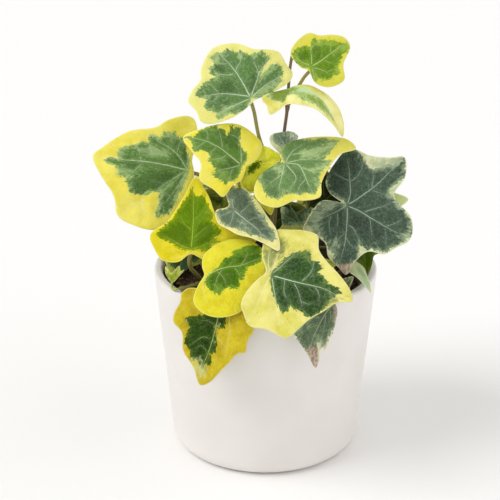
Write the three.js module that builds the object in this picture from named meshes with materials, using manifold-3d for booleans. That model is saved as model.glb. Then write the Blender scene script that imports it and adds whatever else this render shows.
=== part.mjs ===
// A variegated English ivy in a white ceramic pot, in millimetres, +Z up.
// The origin is the centre of the pot's flat underside, and the side seen first faces -Y.
// The plant stands in a black nursery pot of potting bark, which sits loose in the white cover pot.
import * as THREE from "three";
import { mergeVertices } from "three/addons/utils/BufferGeometryUtils.js";
import Module from "manifold-3d";

const wasm = await Module();
wasm.setup();

// Driving dimensions
const GAP = 0.3; // clearance between pieces that touch
const POT_HEIGHT = 102;
const POT_RIM_RADIUS = 60;
const POT_FOOT_RADIUS = 50.6; // where the straight side would meet the table
const POT_WALL = 4.6;
const POT_FLOOR = 6;
const POT_FOOT_ROUNDING = 8;
const POT_LIP_ROUNDING = 1.6;
const NURSERY_HEIGHT = 92.5; // from its own base
const NURSERY_WALL = 1.2;
const NURSERY_RIM_RADIUS = 54;
const NURSERY_RIM_BAND = 6;
const NURSERY_FOOT_RADIUS = 43;
const SOIL_LEVEL = 88;
const SOIL_MOUND = 3;
const ROOT_DEPTH = 14; // how far a stem stands in the soil
const BLADE = 0.7; // leaf thickness
const WAVES = 5; // waves round a leaf's edge
const STEM_SIDES = 6;
const PETIOLE_SIDES = 5;

const POT_SEGMENTS = 42;
const NURSERY_SEGMENTS = 32;
const SOIL_SEGMENTS = 30;

const COLOURS = {
  glaze: { color: 0xf1eeec, roughness: 0.45, metalness: 0 },
  plastic: { color: 0x26241d, roughness: 0.6, metalness: 0 },
  bark: { color: 0x3c2a1e, roughness: 0.95, metalness: 0 },
  stem: { color: 0x7d7a45, roughness: 0.6, metalness: 0 },
  leaf: { color: 0x8fa63f, roughness: 0.5, metalness: 0 },
};

// Joining and cutting

function solid(geometry) {
  const bare = new THREE.BufferGeometry();
  bare.setAttribute("position", geometry.getAttribute("position"));
  if (geometry.index) bare.setIndex(geometry.index);
  const merged = mergeVertices(bare, 1e-3);
  const mesh = new wasm.Mesh({
    numProp: 3,
    vertProperties: merged.attributes.position.array,
    triVerts: new Uint32Array(merged.index.array),
  });
  return new wasm.Manifold(mesh);
}

function geometryOf(made) {
  const mesh = made.getMesh();
  const geometry = new THREE.BufferGeometry();
  geometry.setAttribute("position", new THREE.BufferAttribute(mesh.vertProperties, 3));
  geometry.setIndex(new THREE.BufferAttribute(mesh.triVerts, 1));
  return geometry;
}

function piece(name, geometry, look) {
  geometry.computeVertexNormals();
  const mesh = new THREE.Mesh(geometry, new THREE.MeshStandardMaterial(look));
  mesh.name = name;
  return mesh;
}

// Pots

// A profile of [radius, height] pairs turned round the upright axis.
function turned(profile, segments) {
  const points = profile.map(([radius, height]) => new THREE.Vector2(radius, height));
  return new THREE.LatheGeometry(points, segments).rotateX(Math.PI / 2);
}

// Points of a quarter round or less, centred at [radius, height].
function arc(centre, size, fromDegrees, toDegrees, steps) {
  const points = [];
  for (let i = 0; i <= steps; i++) {
    const turn = THREE.MathUtils.degToRad(fromDegrees + ((toDegrees - fromDegrees) * i) / steps);
    points.push([centre[0] + size * Math.cos(turn), centre[1] + size * Math.sin(turn)]);
  }
  return points;
}

const potSlope = (POT_RIM_RADIUS - POT_FOOT_RADIUS) / POT_HEIGHT;
const potOuter = (height) => POT_FOOT_RADIUS + potSlope * height;

function coverPot() {
  const foot = POT_FOOT_ROUNDING;
  const lip = POT_LIP_ROUNDING;
  const innerFoot = potOuter(POT_FLOOR) - POT_WALL;
  const profile = [
    [0, 0],
    ...arc([potOuter(foot) - foot, foot], foot, -90, -5, 5),
    ...arc([POT_RIM_RADIUS - lip - 0.2, POT_HEIGHT - lip], lip, 0, 90, 3),
    ...arc([POT_RIM_RADIUS - POT_WALL + lip, POT_HEIGHT - lip], lip, 90, 180, 3),
    [innerFoot, POT_FLOOR + 2.4],
    [innerFoot - 2.4, POT_FLOOR],
    [0, POT_FLOOR],
  ];
  return turned(profile, POT_SEGMENTS);
}

const nurseryBase = POT_FLOOR + GAP;
const nurseryTop = nurseryBase + NURSERY_HEIGHT;
const nurseryShoulder = nurseryTop - NURSERY_RIM_BAND;
const nurseryNeck = NURSERY_RIM_RADIUS - 1.4; // wall radius just under the rim band

function nurseryPot() {
  const wall = NURSERY_WALL;
  const profile = [
    [0, nurseryBase],
    [NURSERY_FOOT_RADIUS, nurseryBase],
    [nurseryNeck, nurseryShoulder],
    [NURSERY_RIM_RADIUS, nurseryShoulder],
    [NURSERY_RIM_RADIUS, nurseryTop - 0.6],
    [NURSERY_RIM_RADIUS - 0.6, nurseryTop],
    [NURSERY_RIM_RADIUS - wall - 0.4, nurseryTop],
    [nurseryNeck - wall, nurseryShoulder - 2],
    [NURSERY_FOOT_RADIUS - wall, nurseryBase + wall],
    [0, nurseryBase + wall],
  ];
  return turned(profile, NURSERY_SEGMENTS);
}

// Uneven bark: a few crossed ripples of different lengths.
function soilRelief(x, y) {
  return 0.9 * Math.sin(x / 4.1 + 1) * Math.cos(y / 5.3) + 0.6 * Math.sin((x + 2 * y) / 7.7);
}

function soilBody() {
  const nurseryInner = (height) => {
    const rise = (height - nurseryBase) / (nurseryShoulder - nurseryBase);
    return NURSERY_FOOT_RADIUS + rise * (nurseryNeck - NURSERY_FOOT_RADIUS) - NURSERY_WALL - GAP;
  };
  const bottom = nurseryBase + NURSERY_WALL + GAP;
  const edge = nurseryInner(SOIL_LEVEL) - 0.2;
  const profile = [
    [0, bottom],
    [nurseryInner(bottom) - 0.2, bottom],
    [edge, SOIL_LEVEL],
  ];
  const rings = 6;
  for (let i = 1; i <= rings; i++) {
    const radius = edge * (1 - i / rings);
    profile.push([radius, SOIL_LEVEL + SOIL_MOUND * (1 - (radius / edge) ** 2)]);
  }
  const geometry = turned(profile, SOIL_SEGMENTS);
  const spots = geometry.attributes.position;
  for (let i = 0; i < spots.count; i++) {
    const [x, y, z] = [spots.getX(i), spots.getY(i), spots.getZ(i)];
    const inside = Math.hypot(x, y) < edge - 1;
    if (inside && z > SOIL_LEVEL - 1) spots.setZ(i, z + soilRelief(x, y));
  }
  return geometry;
}

// Stems

// Each vine: its radius, where it leaves the soil, and the points that it passes above the soil.
const VINES = {
  tall: { radius: 1.1, root: [3, 2], path: [[4, 1, 108], [5.5, 2.3, 138], [9.6, 2.8, 176.7],
    [11, 2, 189], [11.6, 8.4, 198.8], [12.3, 12, 207.4], [13.6, 13.4, 215.5]] },
  left: { radius: 1.1, root: [-12, 6], path: [[-15, 5, 108], [-22, 3, 124], [-29, 1, 142],
    [-31, 0, 150]] },
  centre: { radius: 1.1, root: [3, -10], path: [[2, -10, 110], [3, -8, 130], [5, -7, 150]] },
  right: { radius: 1.1, root: [16, 0], path: [[18, -1, 104], [25, -4, 118], [32, -7, 129],
    [37, -9, 136]] },
  front: { radius: 1.1, root: [6, -22], path: [[6, -25, 99], [4, -32, 107], [2, -40, 111]] },
  low_left: { radius: 1.1, root: [-31, -8], path: [[-30, -13, 98], [-27, -22, 105], [-23, -32, 108]] },
  low_right: { radius: 1.1, root: [33, -14], path: [[35, -18, 99], [38, -22, 106], [41, -25, 110]] },
  sprout: { radius: 1.6, root: [-22, -23], path: [[-25, -27, 100], [-30, -32, 105.4], [-36, -36, 105.2],
    [-41, -37.6, 104.2], [-45.2, -37.8, 104]] },
  back_left: { radius: 1.1, root: [-17, 18], path: [[-19, 20, 102], [-26, 25, 114], [-32, 28, 122]] },
  back_centre: { radius: 1.1, root: [0, 22], path: [[0, 24, 106], [2, 25, 124], [4, 23, 142]] },
  back_right: { radius: 1.1, root: [19, 17], path: [[21, 19, 102], [27, 24, 113], [33, 28, 120]] },
};

// Leaves

// A leaf's edge is [degrees, reach] round the end of its petiole: 0 degrees is the tip, turning left
// as its upper face is seen, and the reach is a share of the length from petiole to tip.
function mirrored(half) {
  const back = half.filter(([turn]) => turn > 0 && turn < 180).reverse();
  return [...half, ...back.map(([turn, reach]) => [360 - turn, reach])];
}

const FIVE_LOBES = mirrored([[0, 1], [13, 0.8], [29, 0.66], [46, 0.78], [58, 0.86], [72, 0.68],
  [92, 0.56], [112, 0.6], [134, 0.46], [158, 0.2], [180, 0.07]]);
const THREE_LOBES = mirrored([[0, 1], [14, 0.76], [30, 0.58], [52, 0.66], [68, 0.72], [90, 0.52],
  [120, 0.44], [150, 0.22], [180, 0.07]]);
const NARROW = mirrored([[0, 1], [14, 0.66], [34, 0.46], [60, 0.4], [90, 0.3], [130, 0.2],
  [180, 0.07]]);

// base is where the petiole meets the blade, tip the end of the midrib, and face the side turned up.
// bend: curl along the midrib, rear behind the petiole, roll across (radians, drooping), and wave as a
// share of the length. petiole lists points that the stalk passes on its way from the vine, and stalk
// is its radius where it isn't the usual one.
const LEAVES = {
  leaf_crown: {
    vine: "tall", base: [-8, -2, 195.5], tip: [-27.5, 8, 219], face: [-0.1, -0.8, 0.6],
    petiole: [[7, 2, 149], [-3, 4.5, 170], [-6.4, 1.5, 187.5]], stalk: 1, samples: 34,
    bend: { curl: 0.25, roll: 0.25, wave: 0.03 },
    edge: [[0, 1], [24, 0.91], [33, 0.85], [46, 0.95], [56, 1.01], [67, 0.9], [79, 0.88], [87, 0.76],
      [103, 0.4], [130, 0.14], [204, 0.08], [240, 0.22], [251, 0.5], [257, 0.72], [264, 0.81],
      [275, 0.81], [291, 0.88], [302, 0.84], [319, 0.79], [338, 0.92]],
  },
  leaf_top_right: {
    vine: "tall", base: [23.3, 2, 211], tip: [42.3, 4, 222.3], face: [0.1, -0.75, 0.65],
    petiole: [[11, 2, 189], [15.2, 7.8, 196], [20, 8, 204.2]], stalk: 0.95, samples: 26,
    bend: { curl: 0.2, roll: 0.3, wave: 0.03 },
    edge: [[0, 1.01], [11, 1], [27, 0.88], [48, 0.77], [65, 0.84], [76, 0.81], [107, 0.7],
      [120, 0.61], [151, 0.26], [200, 0.12], [252, 0.4], [280, 0.65], [306, 0.83], [332, 0.74],
      [354, 0.97]],
  },
  leaf_arched: {
    vine: "tall", base: [14.5, -1, 200.5], tip: [40, -3, 175.4], face: [0.6, -0.15, 0.8],
    petiole: [[11, 2.4, 190]], samples: 30, bend: { curl: 1.85, rear: 0.3, roll: 2.3 },
    edge: [[0, 1], [12, 0.74], [30, 0.46], [55, 0.3], [80, 0.2], [110, 0.1], [150, 0.06], [184, 0.1],
      [193, 0.4], [205, 0.44], [219, 0.44], [233, 0.51], [243, 0.43], [256, 0.32], [272, 0.31],
      [288, 0.34], [302, 0.38], [316, 0.45], [330, 0.61], [340, 0.77], [350, 0.93]],
  },
  leaf_left_broad: {
    vine: "left", base: [-41, -2, 156], tip: [-89, -6, 165], face: [-0.2, -0.75, 0.6],
    petiole: [[-31, 0, 149], [-34.2, 0.4, 152.4]], stalk: 1.15, samples: 36,
    bend: { curl: 0.3, roll: 0.4, wave: 0.03 },
    edge: [[0, 1.02], [13, 0.93], [29, 0.85], [42, 0.91], [53, 0.85], [69, 0.75], [80, 0.6], [93, 0.33],
      [130, 0.12], [200, 0.07], [252, 0.12], [260, 0.43], [268, 0.63], [276, 0.65], [298, 0.6],
      [313, 0.58], [334, 0.76], [353, 0.94]],
  },
  leaf_upper_middle: {
    vine: "centre", base: [-12, -12, 162.4], tip: [-42.3, -14, 178], face: [-0.1, -0.75, 0.65],
    petiole: [[3, -8.5, 127], [-8, -9, 138], [-14, -9.5, 151]], samples: 32,
    bend: { curl: 0.3, roll: 0.45, wave: 0.03 },
    edge: [[0, 1], [11, 0.82], [23, 0.67], [43, 0.72], [64, 0.6], [82, 0.58], [87, 0.35], [107, 0.24],
      [142, 0.09], [184, 0.06], [221, 0.22], [237, 0.39], [248, 0.51], [275, 0.58], [296, 0.64],
      [326, 0.73], [342, 0.83]],
  },
  leaf_centre_right: {
    vine: "centre", base: [9.6, -16, 165.3], tip: [27.5, -34, 153.2], face: [0.15, -0.7, 0.7],
    petiole: [[5, -7, 148], [8, -10, 158]], samples: 36, bend: { curl: 0.35, roll: 0.3, wave: 0.03 },
    edge: [[0, 1], [13, 0.83], [33, 0.79], [50, 0.86], [66, 1.08], [72, 1.45], [82, 1.37], [94, 1.07],
      [118, 0.75], [150, 0.44], [165, 0.22], [200, 0.07], [252, 0.35], [265, 0.64], [278, 0.84],
      [294, 0.97], [312, 1.01], [333, 0.87], [343, 0.92]],
  },
  leaf_right_star: {
    vine: "right", base: [42, -18, 142.7], tip: [76, -26, 131.2], face: [0.15, -0.8, 0.6],
    petiole: [[37, -9, 136], [40, -12.5, 139]], samples: 44,
    bend: { curl: 0.3, roll: 0.2, wave: 0.03 },
    edge: [[0, 0.99], [12, 0.9], [19, 0.79], [35, 0.68], [51, 0.96], [65, 1.15], [73, 0.97], [89, 0.84],
      [104, 0.9], [112, 0.91], [130, 0.67], [151, 0.48], [163, 0.3], [170, 0.08], [180, 0.2],
      [188, 0.37], [204, 0.47], [222, 0.62], [230, 0.71], [249, 0.61], [264, 0.64], [271, 0.78],
      [284, 0.91], [291, 1.01], [298, 0.85], [315, 0.74], [328, 0.88], [341, 0.92], [351, 1]],
  },
  leaf_grey_arrow: {
    vine: "centre", base: [-16.5, -28, 143.7], tip: [6.8, -50, 130.2], face: [0.05, -0.7, 0.7],
    petiole: [[2.5, -9.5, 120], [-9, -17, 134]], samples: 30, bend: { curl: 0.25, roll: 0.5 },
    edge: [[0, 1], [16, 0.75], [31, 0.53], [65, 0.39], [95, 0.38], [118, 0.44], [136, 0.44], [151, 0.4],
      [160, 0.31], [175, 0.12], [202, 0.13], [220, 0.26], [237, 0.28], [274, 0.31], [304, 0.34],
      [327, 0.45], [344, 0.57], [354, 0.77]],
  },
  leaf_bright_left: {
    vine: "low_left", base: [-37.8, -34, 124.4], tip: [-36.5, -14, 156], face: [-0.1, -0.75, 0.6],
    petiole: [[-31, -9, 92], [-35.8, -22, 104.8], [-39, -27.5, 111.9], [-39.2, -30.5, 118]], stalk: 1.2,
    samples: 34,
    bend: { curl: 0.2, roll: 0.3, wave: 0.03 },
    edge: [[0, 1], [11, 0.74], [41, 0.53], [72, 0.63], [92, 0.52], [111, 0.44], [134, 0.26],
      [170, 0.07], [222, 0.15], [233, 0.3], [255, 0.44], [271, 0.67], [280, 0.9], [294, 0.72],
      [312, 0.54], [333, 0.62], [346, 0.79]],
  },
  leaf_folded_front: {
    vine: "low_left", base: [-29, -50, 117], tip: [1.3, -43, 123.6], face: [-0.05, -0.7, 0.7],
    petiole: [[-23, -32, 108], [-27, -43, 111]], samples: 34, bend: { curl: 0.2, roll: 0.35 },
    edge: [[0, 1], [21, 0.92], [40, 0.75], [60, 0.54], [85, 0.35], [107, 0.17], [160, 0.06],
      [210, 0.22], [221, 0.44], [229, 0.53], [247, 0.64], [266, 0.72], [288, 0.79], [305, 0.81],
      [324, 0.82], [344, 0.91]],
  },
  leaf_front_large: {
    vine: "front", base: [2.2, -56.5, 121], tip: [43, -70.5, 112], face: [0.05, -0.75, 0.6],
    petiole: [[2, -38, 110], [2.5, -47, 113]], samples: 40,
    bend: { curl: 0.15, roll: 0.35, wave: 0.02 },
    edge: [[0, 1], [7, 0.93], [18, 0.78], [31, 0.66], [47, 0.62], [62, 0.71], [75, 0.65], [89, 0.58],
      [106, 0.54], [120, 0.43], [135, 0.24], [184, 0.05], [229, 0.17], [239, 0.34], [247, 0.48],
      [258, 0.56], [269, 0.65], [288, 0.66], [305, 0.79], [318, 0.74], [329, 0.72], [345, 0.78],
      [354, 0.84]],
  },
  leaf_hanging_left: {
    vine: "low_left", base: [-22, -57.5, 103.6], tip: [-33, -66, 63], face: [-0.28, -0.93, 0.25],
    petiole: [[-23, -32, 108], [-22, -46, 106.5], [-22, -53, 105]], samples: 36,
    bend: { curl: 0.2, roll: 0.3, wave: 0.03 },
    edge: [[0, 1], [7, 0.93], [14, 0.8], [24, 0.68], [35, 0.6], [43, 0.62], [53, 0.52], [70, 0.48],
      [86, 0.35], [110, 0.15], [190, 0.05], [244, 0.18], [255, 0.37], [264, 0.48], [274, 0.53],
      [282, 0.52], [298, 0.61], [306, 0.64], [321, 0.6], [335, 0.74], [351, 0.84]],
  },
  leaf_hanging_right: {
    vine: "front", base: [30.3, -58, 106.6], tip: [25.6, -68, 74], face: [0.2, -0.9, 0.3],
    petiole: [[3, -36, 109], [14, -46, 108.5], [24, -52, 108]], samples: 28,
    bend: { curl: 0.2, roll: 0.3 },
    edge: [[0, 1], [4, 0.7], [7, 0.75], [13, 0.62], [24, 0.44], [60, 0.22], [110, 0.09], [200, 0.07],
      [270, 0.12], [305, 0.32], [315, 0.57], [324, 0.69], [339, 0.74], [352, 0.88]],
  },
  leaf_stem_small: {
    vine: "tall", base: [9.1, -2.7, 167.3], tip: [3.4, -2.1, 175.9], face: [0.14, -0.8, 0.45],
    petiole: [[8, 2, 157], [9, 0.5, 161]], small: true, bend: { curl: 0.2, roll: 0.3 },
    edge: [[0, 1.02], [12, 1], [28, 0.76], [50, 0.4], [100, 0.2], [180, 0.2], [248, 0.28], [262, 0.6],
      [273, 1.1], [289, 1.1], [313, 1], [336, 0.93]],
  },
  leaf_behind_upper: {
    vine: "tall", base: [-10, 0, 160.5], tip: [8, -4, 163.5], face: [0, -0.92, 0.38],
    petiole: [[6, 2, 142], [-3, 3, 151]], small: true, bend: { curl: 0.2, roll: 0.4 },
    edge: [[0, 1], [20, 0.8], [45, 0.6], [65, 0.56], [90, 0.46], [130, 0.3], [180, 0.1], [225, 0.36],
      [250, 0.66], [266, 0.86], [276, 0.86], [290, 0.7], [312, 0.56], [335, 0.66], [348, 0.84]],
  },
  leaf_shaded_left: {
    vine: "left", base: [-21, -4, 142], tip: [-34, -8, 146], face: [0, -0.7, 0.7],
    petiole: [[-25, 2, 132], [-22, 0, 138]], small: true, bend: { curl: 0.2, roll: 0.4 },
    edge: FIVE_LOBES,
  },
  leaf_lime_centre: {
    vine: "centre", base: [0, -17, 149], tip: [2.6, -27, 140.5], face: [0, -0.7, 0.7],
    petiole: [[3, -8, 136]], small: true, bend: { curl: 0.2, roll: 0.9 }, edge: THREE_LOBES,
  },
  leaf_dark_inner: {
    vine: "right", base: [19.7, -14, 124.2], tip: [8.2, -8, 138], face: [0, -0.75, 0.65],
    petiole: [[22, -2.5, 111], [21, -9, 119]], small: true, bend: { curl: 0.2, roll: 0.4 },
    edge: FIVE_LOBES,
  },
  leaf_behind_bright: {
    vine: "low_left", base: [-40.6, -19, 121], tip: [-33.4, -23, 112.2], face: [-0.2, -0.7, 0.7],
    petiole: [[-30.6, -11, 96], [-34, -14, 108], [-39, -16, 115]], small: true,
    bend: { curl: 0.2, roll: 0.3 },
    edge: [[0, 1], [25, 0.86], [60, 0.8], [100, 0.7], [140, 0.5], [180, 0.2], [215, 0.8], [250, 1.1],
      [290, 1.5], [300, 1.62], [308, 1.4], [330, 1.02]],
  },
  leaf_right_peek: {
    vine: "right", base: [50, 4, 134], tip: [76, 6, 137.4], face: [0.1, -0.7, 0.7],
    petiole: [[34, -7.5, 131], [43.5, 2, 128.5]], small: true, bend: { curl: 0.2, roll: 0.3 },
    edge: THREE_LOBES,
  },
  leaf_rim_right: {
    vine: "low_right", base: [49.6, -7, 120], tip: [53, -22, 105.5], face: [0.3, -0.8, 0.4],
    petiole: [[39, -22, 107], [46, -12, 114]], small: true, bend: { curl: 0.3, roll: 0.3 },
    edge: THREE_LOBES,
  },
  leaf_edge_on: {
    vine: "low_right", base: [45.5, -26.5, 113], tip: [54.5, -36, 101.2], face: [0.62, -0.45, 0.64],
    petiole: [[41, -25, 110]], small: true, bend: { curl: 0.5, roll: 0.5 }, edge: NARROW,
  },
  leaf_small_front_right: {
    vine: "low_right", base: [37, -47, 107.4], tip: [44.5, -47, 115], face: [0, -0.8, 0.6],
    petiole: [[38, -22, 105], [38, -35, 108]], small: true, bend: { curl: 0.2, roll: 0.3 },
    edge: THREE_LOBES,
  },
  leaf_lime_inner: {
    vine: "low_right", base: [28, -33, 115.5], tip: [36.2, -42.6, 112], face: [0.3, -0.7, 0.6],
    petiole: [[36, -20, 101], [31, -27, 109]], small: true, bend: { curl: 0.3, roll: 0.4 },
    edge: THREE_LOBES,
  },
  leaf_sprout: {
    vine: "sprout", base: [-48.3, -33.5, 106.4], tip: [-44.2, -33, 114.8], face: [0, -0.95, 0.3],
    petiole: [[-44.4, -37.8, 104], [-47.4, -36.6, 103], [-48.6, -33.6, 103.4]], small: true,
    bend: { roll: 0.3 },
    edge: [[0, 1], [11, 0.7], [31, 0.46], [44, 0.66], [50, 0.9], [64, 0.62], [80, 0.28], [137, 0.1],
      [204, 0.1], [290, 0.16], [330, 0.46], [336, 0.74], [341, 0.98], [346, 0.78]],
  },
  leaf_inner_left: {
    vine: "back_centre", base: [1, 8, 121], tip: [5, 22.5, 144], face: [0, -0.8, 0.6],
    petiole: [[0.5, 24, 107], [-2, 15, 114]], small: true, bend: { curl: 0.2, roll: 0.3 },
    edge: FIVE_LOBES,
  },
  leaf_inner_right: {
    vine: "right", base: [31, 0, 139], tip: [31, 9, 154], face: [0, -0.8, 0.6],
    petiole: [[34, -7.5, 132], [32, -1, 133]], small: true, bend: { curl: 0.2, roll: 0.3 },
    edge: FIVE_LOBES,
  },
  leaf_back_1: {
    vine: "back_left", base: [-32, 28, 132], tip: [-58, 44, 139], face: [-0.3, 0.6, 0.8],
    petiole: [[-30, 27, 119]], bend: { curl: 0.5, roll: 0.3, wave: 0.03 }, edge: FIVE_LOBES,
  },
  leaf_back_2: {
    vine: "back_centre", base: [1, 32, 138], tip: [-8, 64, 136], face: [0, 0.5, 0.85],
    petiole: [[3, 24, 132]], bend: { curl: 0.6, roll: 0.3, wave: 0.03 }, edge: FIVE_LOBES,
  },
  leaf_back_3: {
    vine: "back_right", base: [32, 30, 130], tip: [50, 56, 133], face: [0.2, 0.6, 0.8],
    petiole: [[33, 28, 119]], bend: { curl: 0.5, roll: 0.3, wave: 0.03 }, edge: FIVE_LOBES,
  },
  leaf_back_4: {
    vine: "back_left", base: [-42, 15, 112], tip: [-55, 37, 108], face: [-0.5, 0.3, 0.8],
    petiole: [[-20, 21, 103], [-32, 17, 106]], bend: { curl: 0.5, roll: 0.4 }, edge: THREE_LOBES,
  },
  leaf_back_5: {
    vine: "back_right", base: [44, 12, 112], tip: [58, 32, 107], face: [0.5, 0.2, 0.8],
    petiole: [[23, 20, 104], [34, 15, 106]], bend: { curl: 0.5, roll: 0.4 }, edge: THREE_LOBES,
  },
  leaf_back_6: {
    vine: "back_centre", base: [-6, 44, 110], tip: [-9, 72, 99], face: [0, 0.8, 0.6],
    petiole: [[0, 24, 102], [-3, 34, 106]], bend: { curl: 0.5, roll: 0.3, wave: 0.03 },
    edge: THREE_LOBES,
  },
  leaf_back_7: {
    vine: "back_centre", base: [14, 46, 117], tip: [21, 73, 106], face: [0.1, 0.7, 0.7],
    petiole: [[0.5, 24, 109], [8, 36, 114]], bend: { curl: 0.5, roll: 0.3 }, edge: THREE_LOBES,
  },
  leaf_back_8: {
    vine: "back_left", base: [-32, 44, 113], tip: [-44, 66, 98], face: [-0.4, 0.7, 0.6],
    petiole: [[-24, 24, 110], [-29, 35, 112]], bend: { curl: 0.6, roll: 0.4, wave: 0.03 },
    edge: FIVE_LOBES,
  },
  leaf_back_9: {
    vine: "back_right", base: [42, 44, 112], tip: [58, 60, 99], face: [0.4, 0.7, 0.6],
    petiole: [[29, 25, 115], [37, 36, 111]], bend: { curl: 0.5, roll: 0.3 }, edge: FIVE_LOBES,
  },
  leaf_back_10: {
    vine: "back_centre", base: [5, 24, 152], tip: [4, 46, 150], face: [0, 0.4, 0.9],
    petiole: [[4, 23, 141]], samples: 20, bend: { curl: 0.6, roll: 0.4 }, edge: FIVE_LOBES,
  },
  leaf_back_11: {
    vine: "back_centre", base: [17, 20, 146], tip: [38, 32, 146], face: [0.1, 0.2, 0.9],
    petiole: [[3, 24, 132], [10, 21, 141]], samples: 20, bend: { curl: 0.5, roll: 0.4 },
    edge: FIVE_LOBES,
  },
  leaf_back_12: {
    vine: "back_left", base: [-22, 20, 138], tip: [-40, 34, 140], face: [-0.1, 0.3, 0.9],
    petiole: [[-24, 24, 111], [-22, 21, 126]], samples: 20, bend: { curl: 0.5, roll: 0.4 },
    edge: FIVE_LOBES,
  },
};

// A smooth closed curve through a leaf's edge points, flat, with the length to the tip as 1.
function edgeCurve(edge) {
  const spots = edge.map(([turn, reach]) => {
    const angle = THREE.MathUtils.degToRad(turn);
    return new THREE.Vector3(reach * Math.cos(angle), reach * Math.sin(angle), 0);
  });
  return new THREE.CatmullRomCurve3(spots, true, "centripetal");
}

// A turn of the plane of a and b about a line at distance 1 / amount below the blade.
function bentOver(along, height, amount) {
  if (Math.abs(amount) < 1e-6) return [along, height];
  const radius = 1 / amount + height;
  const angle = along * amount;
  return [Math.sin(angle) * radius, Math.cos(angle) * radius - 1 / amount];
}

// Where a spot of the flat blade lies once the leaf has its folds, waves and droop.
function bent(x, y, { curl = 0, rear = curl, roll = 0, wave = 0 }) {
  const reach = Math.hypot(x, y);
  const ripple = wave * reach * reach * Math.sin(WAVES * Math.atan2(y, x));
  const [side, rolled] = bentOver(y, ripple, roll);
  const [forward, lifted] = bentOver(x, rolled, x < 0 ? rear : curl);
  return new THREE.Vector3(forward, side, lifted);
}

// The leaf's own axes in space, and a function from the flat blade to space.
function placed(leaf) {
  const base = new THREE.Vector3(...leaf.base);
  const along = new THREE.Vector3(...leaf.tip).sub(base);
  const length = along.length();
  along.normalize();
  const up = new THREE.Vector3(...leaf.face);
  up.addScaledVector(along, -up.dot(along)).normalize();
  const left = new THREE.Vector3().crossVectors(up, along);
  const tip = bent(1, 0, leaf.bend);
  const chord = tip.length();
  const forward = tip.clone().normalize();
  const lift = new THREE.Vector3(0, 0, 1).addScaledVector(forward, -forward.z).normalize();
  const side = new THREE.Vector3().crossVectors(lift, forward);
  const at = (x, y) => {
    const spot = bent(x, y, leaf.bend).multiplyScalar(length / chord);
    return base
      .clone()
      .addScaledVector(along, spot.dot(forward))
      .addScaledVector(left, spot.dot(side))
      .addScaledVector(up, spot.dot(lift));
  };
  const normal = (x, y) => {
    const step = 0.01;
    const dx = at(x + step, y).sub(at(x - step, y));
    const dy = at(x, y + step).sub(at(x, y - step));
    return dx.cross(dy).normalize();
  };
  return { at, normal };
}

// A blade is a fan of spokes from the petiole to the edge, split into triangles alike on both faces.
function blade(leaf) {
  const { at, normal } = placed(leaf);
  const curve = edgeCurve(leaf.edge);
  const spokes = leaf.samples || (leaf.small ? 18 : 23);
  const shares = leaf.small ? [0.55, 1] : [0.38, 0.7, 1];
  const flat = [[0, 0]];
  shares.forEach((share) => {
    for (let i = 0; i < spokes; i++) {
      const spot = curve.getPoint(i / spokes);
      flat.push([spot.x * share, spot.y * share]);
    }
  });
  const spots = [];
  [0.5, -0.5].forEach((side) => {
    flat.forEach(([x, y]) => {
      const spot = at(x, y).addScaledVector(normal(x, y), side * BLADE);
      spots.push(spot.x, spot.y, spot.z);
    });
  });
  const under = flat.length;
  const faces = [];
  const both = (a, b, c) => faces.push(a, b, c, under + a, under + c, under + b);
  for (let i = 0; i < spokes; i++) {
    const next = (i + 1) % spokes;
    both(0, 1 + i, 1 + next);
    for (let ring = 1; ring < shares.length; ring++) {
      const inner = 1 + (ring - 1) * spokes;
      const outer = 1 + ring * spokes;
      both(inner + i, outer + i, outer + next);
      both(inner + i, outer + next, inner + next);
    }
    const rim = 1 + (shares.length - 1) * spokes;
    faces.push(rim + i, under + rim + i, under + rim + next);
    faces.push(rim + i, under + rim + next, rim + next);
  }
  const geometry = new THREE.BufferGeometry();
  geometry.setAttribute("position", new THREE.Float32BufferAttribute(spots, 3));
  geometry.setIndex(faces);
  return geometry;
}

// Vines

function tube(curve, radius, sides, steps) {
  const section = new THREE.Shape();
  for (let i = 0; i < sides; i++) {
    const angle = (2 * Math.PI * i) / sides;
    const spot = [radius * Math.cos(angle), radius * Math.sin(angle)];
    if (i === 0) section.moveTo(...spot);
    else section.lineTo(...spot);
  }
  return new THREE.ExtrudeGeometry(section, { steps, extrudePath: curve });
}

function vineCurve({ root, path }) {
  const [x, y] = root;
  const spots = [[x, y, SOIL_LEVEL - ROOT_DEPTH], [x, y, SOIL_LEVEL + 3], ...path];
  const vectors = spots.map((spot) => new THREE.Vector3(...spot));
  return new THREE.CatmullRomCurve3(vectors, false, "centripetal");
}

function nearestOn(curve, spot) {
  const many = curve.getSpacedPoints(120);
  return many.reduce((best, here) => (here.distanceTo(spot) < best.distanceTo(spot) ? here : best));
}

// The stalk leaves the vine, and ends just under the blade, square to it.
function petiole(vine, leaf) {
  const { at, normal } = placed(leaf);
  const up = normal(0, 0);
  const end = at(0, 0).addScaledVector(up, -(BLADE / 2 + GAP));
  const before = end.clone().addScaledVector(up, -2.2);
  const passed = leaf.petiole.map((spot) => new THREE.Vector3(...spot));
  const start = nearestOn(vine, passed[0]);
  const spots = [start, ...passed.slice(1), before, end];
  const curve = new THREE.CatmullRomCurve3(spots, false, "centripetal");
  const radius = leaf.stalk || (leaf.small ? 0.65 : 0.8);
  return tube(curve, radius, PETIOLE_SIDES, Math.max(5, Math.round(curve.getLength() / 6)));
}

function vine(name) {
  const curve = vineCurve(VINES[name]);
  const steps = Math.round(curve.getLength() / 8);
  let body = solid(tube(curve, VINES[name].radius, STEM_SIDES, steps));
  Object.values(LEAVES).forEach((leaf) => {
    if (leaf.vine === name) body = body.add(solid(petiole(curve, leaf)));
  });
  return geometryOf(body);
}

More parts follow.
